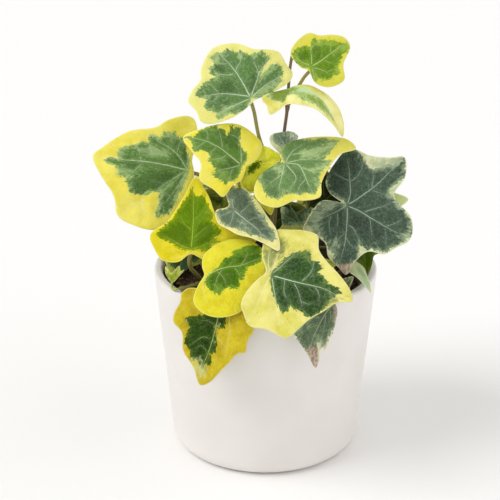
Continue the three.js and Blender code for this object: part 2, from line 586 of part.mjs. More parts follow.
// Plain round holes in the bark, one for each vine.
function soilWithHoles() {
  let body = solid(soilBody());
  Object.values(VINES).forEach(({ root, radius }) => {
    const depth = ROOT_DEPTH + 12;
    const hole = new THREE.CylinderGeometry(radius + 0.6, radius + 0.6, depth, 8).rotateX(Math.PI / 2);
    hole.translate(root[0], root[1], SOIL_LEVEL - ROOT_DEPTH - GAP + depth / 2);
    body = body.subtract(solid(hole));
  });
  return geometryOf(body);
}

// The whole plant

const plant = new THREE.Group();
plant.add(piece("cover_pot", coverPot(), COLOURS.glaze));
plant.add(piece("nursery_pot", nurseryPot(), COLOURS.plastic));
plant.add(piece("soil", soilWithHoles(), COLOURS.bark));
Object.keys(VINES).forEach((name) => plant.add(piece("vine_" + name, vine(name), COLOURS.stem)));
Object.entries(LEAVES).forEach(([name, leaf]) => plant.add(piece(name, blade(leaf), COLOURS.leaf)));

export default plant;
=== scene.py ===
import math
import random
from typing import NamedTuple

import bmesh
import bpy
import numpy as np
from mathutils import Matrix, Vector


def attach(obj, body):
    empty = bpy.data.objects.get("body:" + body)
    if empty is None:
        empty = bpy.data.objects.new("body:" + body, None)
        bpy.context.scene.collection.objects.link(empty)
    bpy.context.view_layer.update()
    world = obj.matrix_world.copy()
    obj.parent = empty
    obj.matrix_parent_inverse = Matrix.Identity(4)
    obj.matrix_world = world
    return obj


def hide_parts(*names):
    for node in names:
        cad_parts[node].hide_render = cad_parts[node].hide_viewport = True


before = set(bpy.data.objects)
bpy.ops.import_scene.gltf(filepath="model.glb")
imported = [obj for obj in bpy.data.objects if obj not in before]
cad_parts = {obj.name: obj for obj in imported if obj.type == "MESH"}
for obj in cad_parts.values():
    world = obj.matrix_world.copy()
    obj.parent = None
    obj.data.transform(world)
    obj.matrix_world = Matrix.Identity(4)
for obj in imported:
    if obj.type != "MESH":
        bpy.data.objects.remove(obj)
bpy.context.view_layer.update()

MM = 0.001
FULL_TURN = 2 * math.pi

# Pots and bark, as in the part
POT_HEIGHT = 102
POT_RIM_RADIUS = 60
POT_FOOT_RADIUS = 50.6
POT_WALL = 4.6
POT_FLOOR = 6
POT_FOOT_ROUNDING = 8
POT_LIP_ROUNDING = 1.6
POT_LIP_INSET = 0.2  # from its widest, to where the lip starts
POT_INNER_ROUNDING = 2.4  # where its wall meets its floor
GAP = 0.3  # between solids that touch in the real plant and its pots
NURSERY_HEIGHT = 92.5
NURSERY_WALL = 1.2
NURSERY_RIM_RADIUS = 54
NURSERY_RIM_BAND = 6
NURSERY_RIM_STEP = 1.4  # from the wall out to the rim band
NURSERY_FOOT_RADIUS = 43
SOIL_LEVEL = 88
SOIL_MOUND = 3
SOIL_CLEARANCE = 0.2  # more than the gap, between the bark and its pot

# Stems and leaves, as in the part
VINE_RADIUS = 1.1
ROOT_DEPTH = 14  # of a vine's foot, below the bark's edge
STALK_RADIUS = 0.8
SMALL_STALK_RADIUS = 0.65
BLADE = 0.7  # a leaf's thickness there
WAVES = 5  # how many waves run round a leaf

# What the rendered leaf and stem add
SHEET = 0.46  # a blade's thickness in its middle
SHEET_EDGE = 0.22  # the share of that thickness left at the rim
EDGE_TAPER = 1.4  # the width of the band in which it thins
CREASE = 0.7  # how deep a blade of middling size dips along its veins
VEIN_PROUD = 0.1  # how far a vein stands above the blade
VEIN_WIDTH = 0.4
MIDRIB_GAIN = 0.38  # how much broader a leaf's longest vein is
SIDE_VEIN_WIDTH = 0.3
SIDE_VEIN_SPACING = 4.0
SIDE_VEIN_LENGTHS = (4.2, 7.5)
SIDE_VEIN_ANGLES = (42, 62)
VEIN_CLEARANCE = 1.3  # between the ends of side veins
RIM_CLEARANCE = 1.2  # between a side vein's end and the rim
BRANCHED_LENGTH = 9  # shorter veins have no side veins
LOBE_REACH = 0.5  # lobes that reach further have a vein of their own
FADE = 4.0  # from the rim inwards, the width in which creases and swells come up
FAR_INSIDE = 12.0  # distances to a marking's border are kept within this
PATCHES = ("pale", "dark", "dry")  # the kinds of patches that MARKINGS may give a leaf
STALK_STRAIGHT = 2.2  # the last stretch of a stalk, square to its blade
BARE_STEM = 0.92  # the share of its radius that a stem has between its knots
BARE_STALK = 0.95  # the same for a stalk between its ends
SHADE_TOP = 130  # a stem darkens from this height down
SHADE_BOTTOM = 100  # and is darkest from here

# What the rendered pots and bark add
FLAT_RING = 20  # a ring of spots within a flat floor
NURSERY_BEAD = 0.8  # the rounding of the growing pot's rim
BARK_RINGS = 40
BARK_ROUGHNESS = 0.35
BARK_CHIPS = dict(count=620, sizes=(1.6, 4.2), tints=(0.05, 0.75))
PALE_GRAINS = dict(count=90, sizes=(0.7, 1.3), tints=(0.85, 1.0))
LOOSE_MARGIN = 2.4  # how far chips and grains keep from the wall
DENT = 0.12  # how far their corners are moved, as a share of their size

# Steps round and along
SPIN_STEPS = 144
STEM_SIDES = 12
RIDGE_SIDES = 8
FINE_GRID = (150, 34)  # columns and rings of a large leaf's blade
PLAIN_GRID = (90, 20)  # the same for the others
RIDGE_STEP = 0.9  # along a raised vein
STEM_STEP = 1.2
STALK_STEP = 1.1
SEGMENTS_AT_ONCE = 48  # how many stretches of lines distance_to measures to in one go

# Limits and aids in working out shapes
TINY = 1e-12  # keeps a division from zero
FAR = 1e3  # further than any outline reaches
MERGE = 1e-4  # spots as near as this are one
FLAT_MERGE = 1e-6  # the same on a flat blade, whose length is 1
FACES_APART = 0.02  # a flat blade's two faces, until each of their spots gets its height
STRAIGHT = 1e-6  # a smaller bend is none
TUBE_SIDE = (0.3, 0.9, 0.2)  # a tube's first side is square to this way and its line

# Colours, as sRGB values from 0 to 255
SPECK = (150, 120, 50)
DRY_PALE = (206, 184, 166)
DRY_DEEP = (150, 124, 104)
UNDERSIDE = (196, 208, 150)
STEM_STREAK = (172, 164, 110)
STEM_DARK_STREAK = (74, 60, 40)
STEM_SHADED = (48, 40, 26)
GLAZE = (234, 229, 225)
GLAZE_POOLED = (230, 225, 220)
GLAZE_SPECK = (214, 208, 200)
PLASTIC = (84, 76, 70)
PLASTIC_HAZE = (124, 114, 104)
BARK_DARK = (58, 38, 28)
BARK_LIGHT = (160, 112, 80)
BARK_CRACK = (30, 18, 13)
PALE_GRAIN = (222, 200, 170)
FLOOR_COLOUR = (253, 252, 251)

# Room, in metres and degrees, with the camera as the photograph's perspective gives it
FLOOR_REACH = 30.0
ROOM_COLOUR = (1.0, 0.995, 0.985, 1.0)
ROOM_STRENGTH = 0.63
SUNS = (  # name, strength, the width that it seems to have in the sky, and the way to it
    ("left_light", 1.35, 40, (-0.75, -0.22, 0.8)),
    ("right_light", 0.7, 80, (0.95, -0.12, 0.5)),
)
CAMERA_SENSOR = 36  # millimetres, as is the lens
CAMERA_LENS = 108.16
CAMERA_PLACE = (0, -0.7466, 0.4135)
CAMERA_TILT = 67.894  # up from straight down
CAMERA_TURN = 0.6405  # to the left

# Stems

# Where each vine leaves the soil, and the points that it passes above the soil
VINES = {
    "tall": dict(root=(3, 2), path=[(4, 1, 108), (5.5, 2.3, 138), (9.6, 2.8, 176.7),
        (11, 2, 189), (11.6, 8.4, 198.8), (12.3, 12, 207.4), (13.6, 13.4, 215.5)]),
    "left": dict(root=(-12, 6), path=[(-15, 5, 108), (-22, 3, 124), (-29, 1, 142),
        (-31, 0, 150)]),
    "centre": dict(root=(3, -10), path=[(2, -10, 110), (3, -8, 130), (5, -7, 150)]),
    "right": dict(root=(16, 0), path=[(18, -1, 104), (25, -4, 118), (32, -7, 129),
        (37, -9, 136)]),
    "front": dict(root=(6, -22), path=[(6, -25, 99), (4, -32, 107), (2, -40, 111)]),
    "low_left": dict(root=(-31, -8), path=[(-30, -13, 98), (-27, -22, 105),
        (-23, -32, 108)]),
    "low_right": dict(root=(33, -14), path=[(35, -18, 99), (38, -22, 106),
        (41, -25, 110)]),
    "sprout": dict(radius=1.6, root=(-22, -23), path=[(-25, -27, 100), (-30, -32, 105.4),
        (-36, -36, 105.2), (-41, -37.6, 104.2), (-45.2, -37.8, 104)]),
    "back_left": dict(root=(-17, 18), path=[(-19, 20, 102), (-26, 25, 114),
        (-32, 28, 122)]),
    "back_centre": dict(root=(0, 22), path=[(0, 24, 106), (2, 25, 124), (4, 23, 142)]),
    "back_right": dict(root=(19, 17), path=[(21, 19, 102), (27, 24, 113),
        (33, 28, 120)]),
}

# Leaves

# A leaf's edge and markings are (degrees, reach) round the end of its petiole: 0 degrees is the tip,
# turning left as its upper face is seen, and the reach is a share of the length to the tip.


def mirrored(half):
    back = [(360 - turn, reach) for turn, reach in reversed(half) if 0 < turn < 180]
    return half + back


FIVE_LOBES = mirrored([(0, 1), (13, 0.8), (29, 0.66), (46, 0.78), (58, 0.86), (72, 0.68),
                       (92, 0.56), (112, 0.6), (134, 0.46), (158, 0.2), (180, 0.07)])
THREE_LOBES = mirrored([(0, 1), (14, 0.76), (30, 0.58), (52, 0.66), (68, 0.72), (90, 0.52),
                        (120, 0.44), (150, 0.22), (180, 0.07)])
NARROW = mirrored([(0, 1), (14, 0.66), (34, 0.46), (60, 0.4), (90, 0.3), (130, 0.2), (180, 0.07)])

# base is where the petiole meets the blade, tip the end of the midrib, and face the side turned up.
# bend has the curl along the midrib, its rear behind the petiole, the roll across it, in radians, and
# the wave as a share of the length. petiole lists points that the stalk passes on its way from the
# vine, and stalk is its radius where it isn't the usual one.
LEAVES = {
    "leaf_crown": dict(
        vine="tall", base=(-8, -2, 195.5), tip=(-27.5, 8, 219), face=(-0.1, -0.8, 0.6),
        petiole=[(7, 2, 149), (-3, 4.5, 170), (-6.4, 1.5, 187.5)],
        bend=dict(curl=0.25, roll=0.25, wave=0.03), stalk=1,
        edge=[(0, 1), (24, 0.91), (33, 0.85), (46, 0.95), (56, 1.01), (67, 0.9), (79, 0.88), (87, 0.76),
              (103, 0.4), (130, 0.14), (204, 0.08), (240, 0.22), (251, 0.5), (257, 0.72), (264, 0.81),
              (275, 0.81), (291, 0.88), (302, 0.84), (319, 0.79), (338, 0.92)]),
    "leaf_top_right": dict(
        vine="tall", base=(23.3, 2, 211), tip=(42.3, 4, 222.3), face=(0.1, -0.75, 0.65),
        petiole=[(11, 2, 189), (15.2, 7.8, 196), (20, 8, 204.2)],
        bend=dict(curl=0.2, roll=0.3, wave=0.03), stalk=0.95,
        edge=[(0, 1.01), (11, 1), (27, 0.88), (48, 0.77), (65, 0.84), (76, 0.81), (107, 0.7),
              (120, 0.61), (151, 0.26), (200, 0.12), (252, 0.4), (280, 0.65), (306, 0.83), (332, 0.74),
              (354, 0.97)]),
    "leaf_arched": dict(
        vine="tall", base=(14.5, -1, 200.5), tip=(40, -3, 175.4), face=(0.6, -0.15, 0.8),
        petiole=[(11, 2.4, 190)],
        bend=dict(curl=1.85, rear=0.3, roll=2.3),
        edge=[(0, 1), (12, 0.74), (30, 0.46), (55, 0.3), (80, 0.2), (110, 0.1), (150, 0.06), (184, 0.1),
              (193, 0.4), (205, 0.44), (219, 0.44), (233, 0.51), (243, 0.43), (256, 0.32), (272, 0.31),
              (288, 0.34), (302, 0.38), (316, 0.45), (330, 0.61), (340, 0.77), (350, 0.93)]),
    "leaf_left_broad": dict(
        vine="left", base=(-41, -2, 156), tip=(-89, -6, 165), face=(-0.2, -0.75, 0.6),
        petiole=[(-31, 0, 149), (-34.2, 0.4, 152.4)],
        bend=dict(curl=0.3, roll=0.4, wave=0.03), stalk=1.15,
        edge=[(0, 1.02), (13, 0.93), (29, 0.85), (42, 0.91), (53, 0.85), (69, 0.75), (80, 0.6),
              (93, 0.33), (130, 0.12), (200, 0.07), (252, 0.12), (260, 0.43), (268, 0.63), (276, 0.65),
              (298, 0.6), (313, 0.58), (334, 0.76), (353, 0.94)]),
    "leaf_upper_middle": dict(
        vine="centre", base=(-12, -12, 162.4), tip=(-42.3, -14, 178), face=(-0.1, -0.75, 0.65),
        petiole=[(3, -8.5, 127), (-8, -9, 138), (-14, -9.5, 151)],
        bend=dict(curl=0.3, roll=0.45, wave=0.03),
        edge=[(0, 1), (11, 0.82), (23, 0.67), (43, 0.72), (64, 0.6), (82, 0.58), (87, 0.35),
              (107, 0.24), (142, 0.09), (184, 0.06), (221, 0.22), (237, 0.39), (248, 0.51), (275, 0.58),
              (296, 0.64), (326, 0.73), (342, 0.83)]),
    "leaf_centre_right": dict(
        vine="centre", base=(9.6, -16, 165.3), tip=(27.5, -34, 153.2), face=(0.15, -0.7, 0.7),
        petiole=[(5, -7, 148), (8, -10, 158)],
        bend=dict(curl=0.35, roll=0.3, wave=0.03),
        edge=[(0, 1), (13, 0.83), (33, 0.79), (50, 0.86), (66, 1.08), (72, 1.45), (82, 1.37),
              (94, 1.07), (118, 0.75), (150, 0.44), (165, 0.22), (200, 0.07), (252, 0.35), (265, 0.64),
              (278, 0.84), (294, 0.97), (312, 1.01), (333, 0.87), (343, 0.92)]),
    "leaf_right_star": dict(
        vine="right", base=(42, -18, 142.7), tip=(76, -26, 131.2), face=(0.15, -0.8, 0.6),
        petiole=[(37, -9, 136), (40, -12.5, 139)],
        bend=dict(curl=0.3, roll=0.2, wave=0.03),
        edge=[(0, 0.99), (12, 0.9), (19, 0.79), (35, 0.68), (51, 0.96), (65, 1.15), (73, 0.97),
              (89, 0.84), (104, 0.9), (112, 0.91), (130, 0.67), (151, 0.48), (163, 0.3), (170, 0.08),
              (180, 0.2), (188, 0.37), (204, 0.47), (222, 0.62), (230, 0.71), (249, 0.61), (264, 0.64),
              (271, 0.78), (284, 0.91), (291, 1.01), (298, 0.85), (315, 0.74), (328, 0.88), (341, 0.92),
              (351, 1)]),
    "leaf_grey_arrow": dict(
        vine="centre", base=(-16.5, -28, 143.7), tip=(6.8, -50, 130.2), face=(0.05, -0.7, 0.7),
        petiole=[(2.5, -9.5, 120), (-9, -17, 134)],
        bend=dict(curl=0.25, roll=0.5),
        edge=[(0, 1), (16, 0.75), (31, 0.53), (65, 0.39), (95, 0.38), (118, 0.44), (136, 0.44),
              (151, 0.4), (160, 0.31), (175, 0.12), (202, 0.13), (220, 0.26), (237, 0.28), (274, 0.31),
              (304, 0.34), (327, 0.45), (344, 0.57), (354, 0.77)]),
    "leaf_bright_left": dict(
        vine="low_left", base=(-37.8, -34, 124.4), tip=(-36.5, -14, 156), face=(-0.1, -0.75, 0.6),
        petiole=[(-31, -9, 92), (-35.8, -22, 104.8), (-39, -27.5, 111.9), (-39.2, -30.5, 118)],
        bend=dict(curl=0.2, roll=0.3, wave=0.03), stalk=1.2,
        edge=[(0, 1), (11, 0.74), (41, 0.53), (72, 0.63), (92, 0.52), (111, 0.44), (134, 0.26),
              (170, 0.07), (222, 0.15), (233, 0.3), (255, 0.44), (271, 0.67), (280, 0.9), (294, 0.72),
              (312, 0.54), (333, 0.62), (346, 0.79)]),
    "leaf_folded_front": dict(
        vine="low_left", base=(-29, -50, 117), tip=(1.3, -43, 123.6), face=(-0.05, -0.7, 0.7),
        petiole=[(-23, -32, 108), (-27, -43, 111)],
        bend=dict(curl=0.2, roll=0.35),
        edge=[(0, 1), (21, 0.92), (40, 0.75), (60, 0.54), (85, 0.35), (107, 0.17), (160, 0.06),
              (210, 0.22), (221, 0.44), (229, 0.53), (247, 0.64), (266, 0.72), (288, 0.79), (305, 0.81),
              (324, 0.82), (344, 0.91)]),
    "leaf_front_large": dict(
        vine="front", base=(2.2, -56.5, 121), tip=(43, -70.5, 112), face=(0.05, -0.75, 0.6),
        petiole=[(2, -38, 110), (2.5, -47, 113)],
        bend=dict(curl=0.15, roll=0.35, wave=0.02),
        edge=[(0, 1), (7, 0.93), (18, 0.78), (31, 0.66), (47, 0.62), (62, 0.71), (75, 0.65), (89, 0.58),
              (106, 0.54), (120, 0.43), (135, 0.24), (184, 0.05), (229, 0.17), (239, 0.34), (247, 0.48),
              (258, 0.56), (269, 0.65), (288, 0.66), (305, 0.79), (318, 0.74), (329, 0.72), (345, 0.78),
              (354, 0.84)]),
    "leaf_hanging_left": dict(
        vine="low_left", base=(-22, -57.5, 103.6), tip=(-33, -66, 63), face=(-0.28, -0.93, 0.25),
        petiole=[(-23, -32, 108), (-22, -46, 106.5), (-22, -53, 105)],
        bend=dict(curl=0.2, roll=0.3, wave=0.03),
        edge=[(0, 1), (7, 0.93), (14, 0.8), (24, 0.68), (35, 0.6), (43, 0.62), (53, 0.52), (70, 0.48),
              (86, 0.35), (110, 0.15), (190, 0.05), (244, 0.18), (255, 0.37), (264, 0.48), (274, 0.53),
              (282, 0.52), (298, 0.61), (306, 0.64), (321, 0.6), (335, 0.74), (351, 0.84)]),
    "leaf_hanging_right": dict(
        vine="front", base=(30.3, -58, 106.6), tip=(25.6, -68, 74), face=(0.2, -0.9, 0.3),
        petiole=[(3, -36, 109), (14, -46, 108.5), (24, -52, 108)],
        bend=dict(curl=0.2, roll=0.3),
        edge=[(0, 1), (4, 0.7), (7, 0.75), (13, 0.62), (24, 0.44), (60, 0.22), (110, 0.09), (200, 0.07),
              (270, 0.12), (305, 0.32), (315, 0.57), (324, 0.69), (339, 0.74), (352, 0.88)]),
    "leaf_stem_small": dict(
        vine="tall", base=(9.1, -2.7, 167.3), tip=(3.4, -2.1, 175.9), face=(0.14, -0.8, 0.45),
        petiole=[(8, 2, 157), (9, 0.5, 161)],
        bend=dict(curl=0.2, roll=0.3), small=True,
        edge=[(0, 1.02), (12, 1), (28, 0.76), (50, 0.4), (100, 0.2), (180, 0.2), (248, 0.28),
              (262, 0.6), (273, 1.1), (289, 1.1), (313, 1), (336, 0.93)]),
    "leaf_behind_upper": dict(
        vine="tall", base=(-10, 0, 160.5), tip=(8, -4, 163.5), face=(0, -0.92, 0.38),
        petiole=[(6, 2, 142), (-3, 3, 151)],
        bend=dict(curl=0.2, roll=0.4), small=True,
        edge=[(0, 1), (20, 0.8), (45, 0.6), (65, 0.56), (90, 0.46), (130, 0.3), (180, 0.1), (225, 0.36),
              (250, 0.66), (266, 0.86), (276, 0.86), (290, 0.7), (312, 0.56), (335, 0.66), (348, 0.84)]),
    "leaf_shaded_left": dict(
        vine="left", base=(-21, -4, 142), tip=(-34, -8, 146), face=(0, -0.7, 0.7),
        petiole=[(-25, 2, 132), (-22, 0, 138)],
        bend=dict(curl=0.2, roll=0.4), small=True, edge=FIVE_LOBES),
    "leaf_lime_centre": dict(
        vine="centre", base=(0, -17, 149), tip=(2.6, -27, 140.5), face=(0, -0.7, 0.7),
        petiole=[(3, -8, 136)],
        bend=dict(curl=0.2, roll=0.9), small=True, edge=THREE_LOBES),
    "leaf_dark_inner": dict(
        vine="right", base=(19.7, -14, 124.2), tip=(8.2, -8, 138), face=(0, -0.75, 0.65),
        petiole=[(22, -2.5, 111), (21, -9, 119)],
        bend=dict(curl=0.2, roll=0.4), small=True, edge=FIVE_LOBES),
    "leaf_behind_bright": dict(
        vine="low_left", base=(-40.6, -19, 121), tip=(-33.4, -23, 112.2), face=(-0.2, -0.7, 0.7),
        petiole=[(-30.6, -11, 96), (-34, -14, 108), (-39, -16, 115)],
        bend=dict(curl=0.2, roll=0.3), small=True,
        edge=[(0, 1), (25, 0.86), (60, 0.8), (100, 0.7), (140, 0.5), (180, 0.2), (215, 0.8), (250, 1.1),
              (290, 1.5), (300, 1.62), (308, 1.4), (330, 1.02)]),
    "leaf_right_peek": dict(
        vine="right", base=(50, 4, 134), tip=(76, 6, 137.4), face=(0.1, -0.7, 0.7),
        petiole=[(34, -7.5, 131), (43.5, 2, 128.5)],
        bend=dict(curl=0.2, roll=0.3), small=True, edge=THREE_LOBES),
    "leaf_rim_right": dict(
        vine="low_right", base=(49.6, -7, 120), tip=(53, -22, 105.5), face=(0.3, -0.8, 0.4),
        petiole=[(39, -22, 107), (46, -12, 114)],
        bend=dict(curl=0.3, roll=0.3), small=True, edge=THREE_LOBES),
    "leaf_edge_on": dict(
        vine="low_right", base=(45.5, -26.5, 113), tip=(54.5, -36, 101.2), face=(0.62, -0.45, 0.64),
        petiole=[(41, -25, 110)],
        bend=dict(curl=0.5, roll=0.5), small=True, edge=NARROW),
    "leaf_small_front_right": dict(
        vine="low_right", base=(37, -47, 107.4), tip=(44.5, -47, 115), face=(0, -0.8, 0.6),
        petiole=[(38, -22, 105), (38, -35, 108)],
        bend=dict(curl=0.2, roll=0.3), small=True, edge=THREE_LOBES),
    "leaf_lime_inner": dict(
        vine="low_right", base=(28, -33, 115.5), tip=(36.2, -42.6, 112), face=(0.3, -0.7, 0.6),
        petiole=[(36, -20, 101), (31, -27, 109)],
        bend=dict(curl=0.3, roll=0.4), small=True, edge=THREE_LOBES),
    "leaf_sprout": dict(
        vine="sprout", base=(-48.3, -33.5, 106.4), tip=(-44.2, -33, 114.8), face=(0, -0.95, 0.3),
        petiole=[(-44.4, -37.8, 104), (-47.4, -36.6, 103), (-48.6, -33.6, 103.4)],
        bend=dict(roll=0.3), small=True,
        edge=[(0, 1), (11, 0.7), (31, 0.46), (44, 0.66), (50, 0.9), (64, 0.62), (80, 0.28), (137, 0.1),
              (204, 0.1), (290, 0.16), (330, 0.46), (336, 0.74), (341, 0.98), (346, 0.78)]),
    "leaf_inner_left": dict(
        vine="back_centre", base=(1, 8, 121), tip=(5, 22.5, 144), face=(0, -0.8, 0.6),
        petiole=[(0.5, 24, 107), (-2, 15, 114)],
        bend=dict(curl=0.2, roll=0.3), small=True, edge=FIVE_LOBES),
    "leaf_inner_right": dict(
        vine="right", base=(31, 0, 139), tip=(31, 9, 154), face=(0, -0.8, 0.6),
        petiole=[(34, -7.5, 132), (32, -1, 133)],
        bend=dict(curl=0.2, roll=0.3), small=True, edge=FIVE_LOBES),
    "leaf_back_1": dict(
        vine="back_left", base=(-32, 28, 132), tip=(-58, 44, 139), face=(-0.3, 0.6, 0.8),
        petiole=[(-30, 27, 119)],
        bend=dict(curl=0.5, roll=0.3, wave=0.03), edge=FIVE_LOBES),
    "leaf_back_2": dict(
        vine="back_centre", base=(1, 32, 138), tip=(-8, 64, 136), face=(0, 0.5, 0.85),
        petiole=[(3, 24, 132)],
        bend=dict(curl=0.6, roll=0.3, wave=0.03), edge=FIVE_LOBES),
    "leaf_back_3": dict(
        vine="back_right", base=(32, 30, 130), tip=(50, 56, 133), face=(0.2, 0.6, 0.8),
        petiole=[(33, 28, 119)],
        bend=dict(curl=0.5, roll=0.3, wave=0.03), edge=FIVE_LOBES),
    "leaf_back_4": dict(
        vine="back_left", base=(-42, 15, 112), tip=(-55, 37, 108), face=(-0.5, 0.3, 0.8),
        petiole=[(-20, 21, 103), (-32, 17, 106)],
        bend=dict(curl=0.5, roll=0.4), edge=THREE_LOBES),
    "leaf_back_5": dict(
        vine="back_right", base=(44, 12, 112), tip=(58, 32, 107), face=(0.5, 0.2, 0.8),
        petiole=[(23, 20, 104), (34, 15, 106)],
        bend=dict(curl=0.5, roll=0.4), edge=THREE_LOBES),
    "leaf_back_6": dict(
        vine="back_centre", base=(-6, 44, 110), tip=(-9, 72, 99), face=(0, 0.8, 0.6),
        petiole=[(0, 24, 102), (-3, 34, 106)],
        bend=dict(curl=0.5, roll=0.3, wave=0.03), edge=THREE_LOBES),
    "leaf_back_7": dict(
        vine="back_centre", base=(14, 46, 117), tip=(21, 73, 106), face=(0.1, 0.7, 0.7),
        petiole=[(0.5, 24, 109), (8, 36, 114)],
        bend=dict(curl=0.5, roll=0.3), edge=THREE_LOBES),
    "leaf_back_8": dict(
        vine="back_left", base=(-32, 44, 113), tip=(-44, 66, 98), face=(-0.4, 0.7, 0.6),
        petiole=[(-24, 24, 110), (-29, 35, 112)],
        bend=dict(curl=0.6, roll=0.4, wave=0.03), edge=FIVE_LOBES),
    "leaf_back_9": dict(
        vine="back_right", base=(42, 44, 112), tip=(58, 60, 99), face=(0.4, 0.7, 0.6),
        petiole=[(29, 25, 115), (37, 36, 111)],
        bend=dict(curl=0.5, roll=0.3), edge=FIVE_LOBES),
    "leaf_back_10": dict(
        vine="back_centre", base=(5, 24, 152), tip=(4, 46, 150), face=(0, 0.4, 0.9),
        petiole=[(4, 23, 141)],
        bend=dict(curl=0.6, roll=0.4), edge=FIVE_LOBES),
    "leaf_back_11": dict(
        vine="back_centre", base=(17, 20, 146), tip=(38, 32, 146), face=(0.1, 0.2, 0.9),
        petiole=[(3, 24, 132), (10, 21, 141)],
        bend=dict(curl=0.5, roll=0.4), edge=FIVE_LOBES),
    "leaf_back_12": dict(
        vine="back_left", base=(-22, 20, 138), tip=(-40, 34, 140), face=(-0.1, 0.3, 0.9),
        petiole=[(-24, 24, 111), (-22, 21, 126)],
        bend=dict(curl=0.5, roll=0.4), edge=FIVE_LOBES),
}

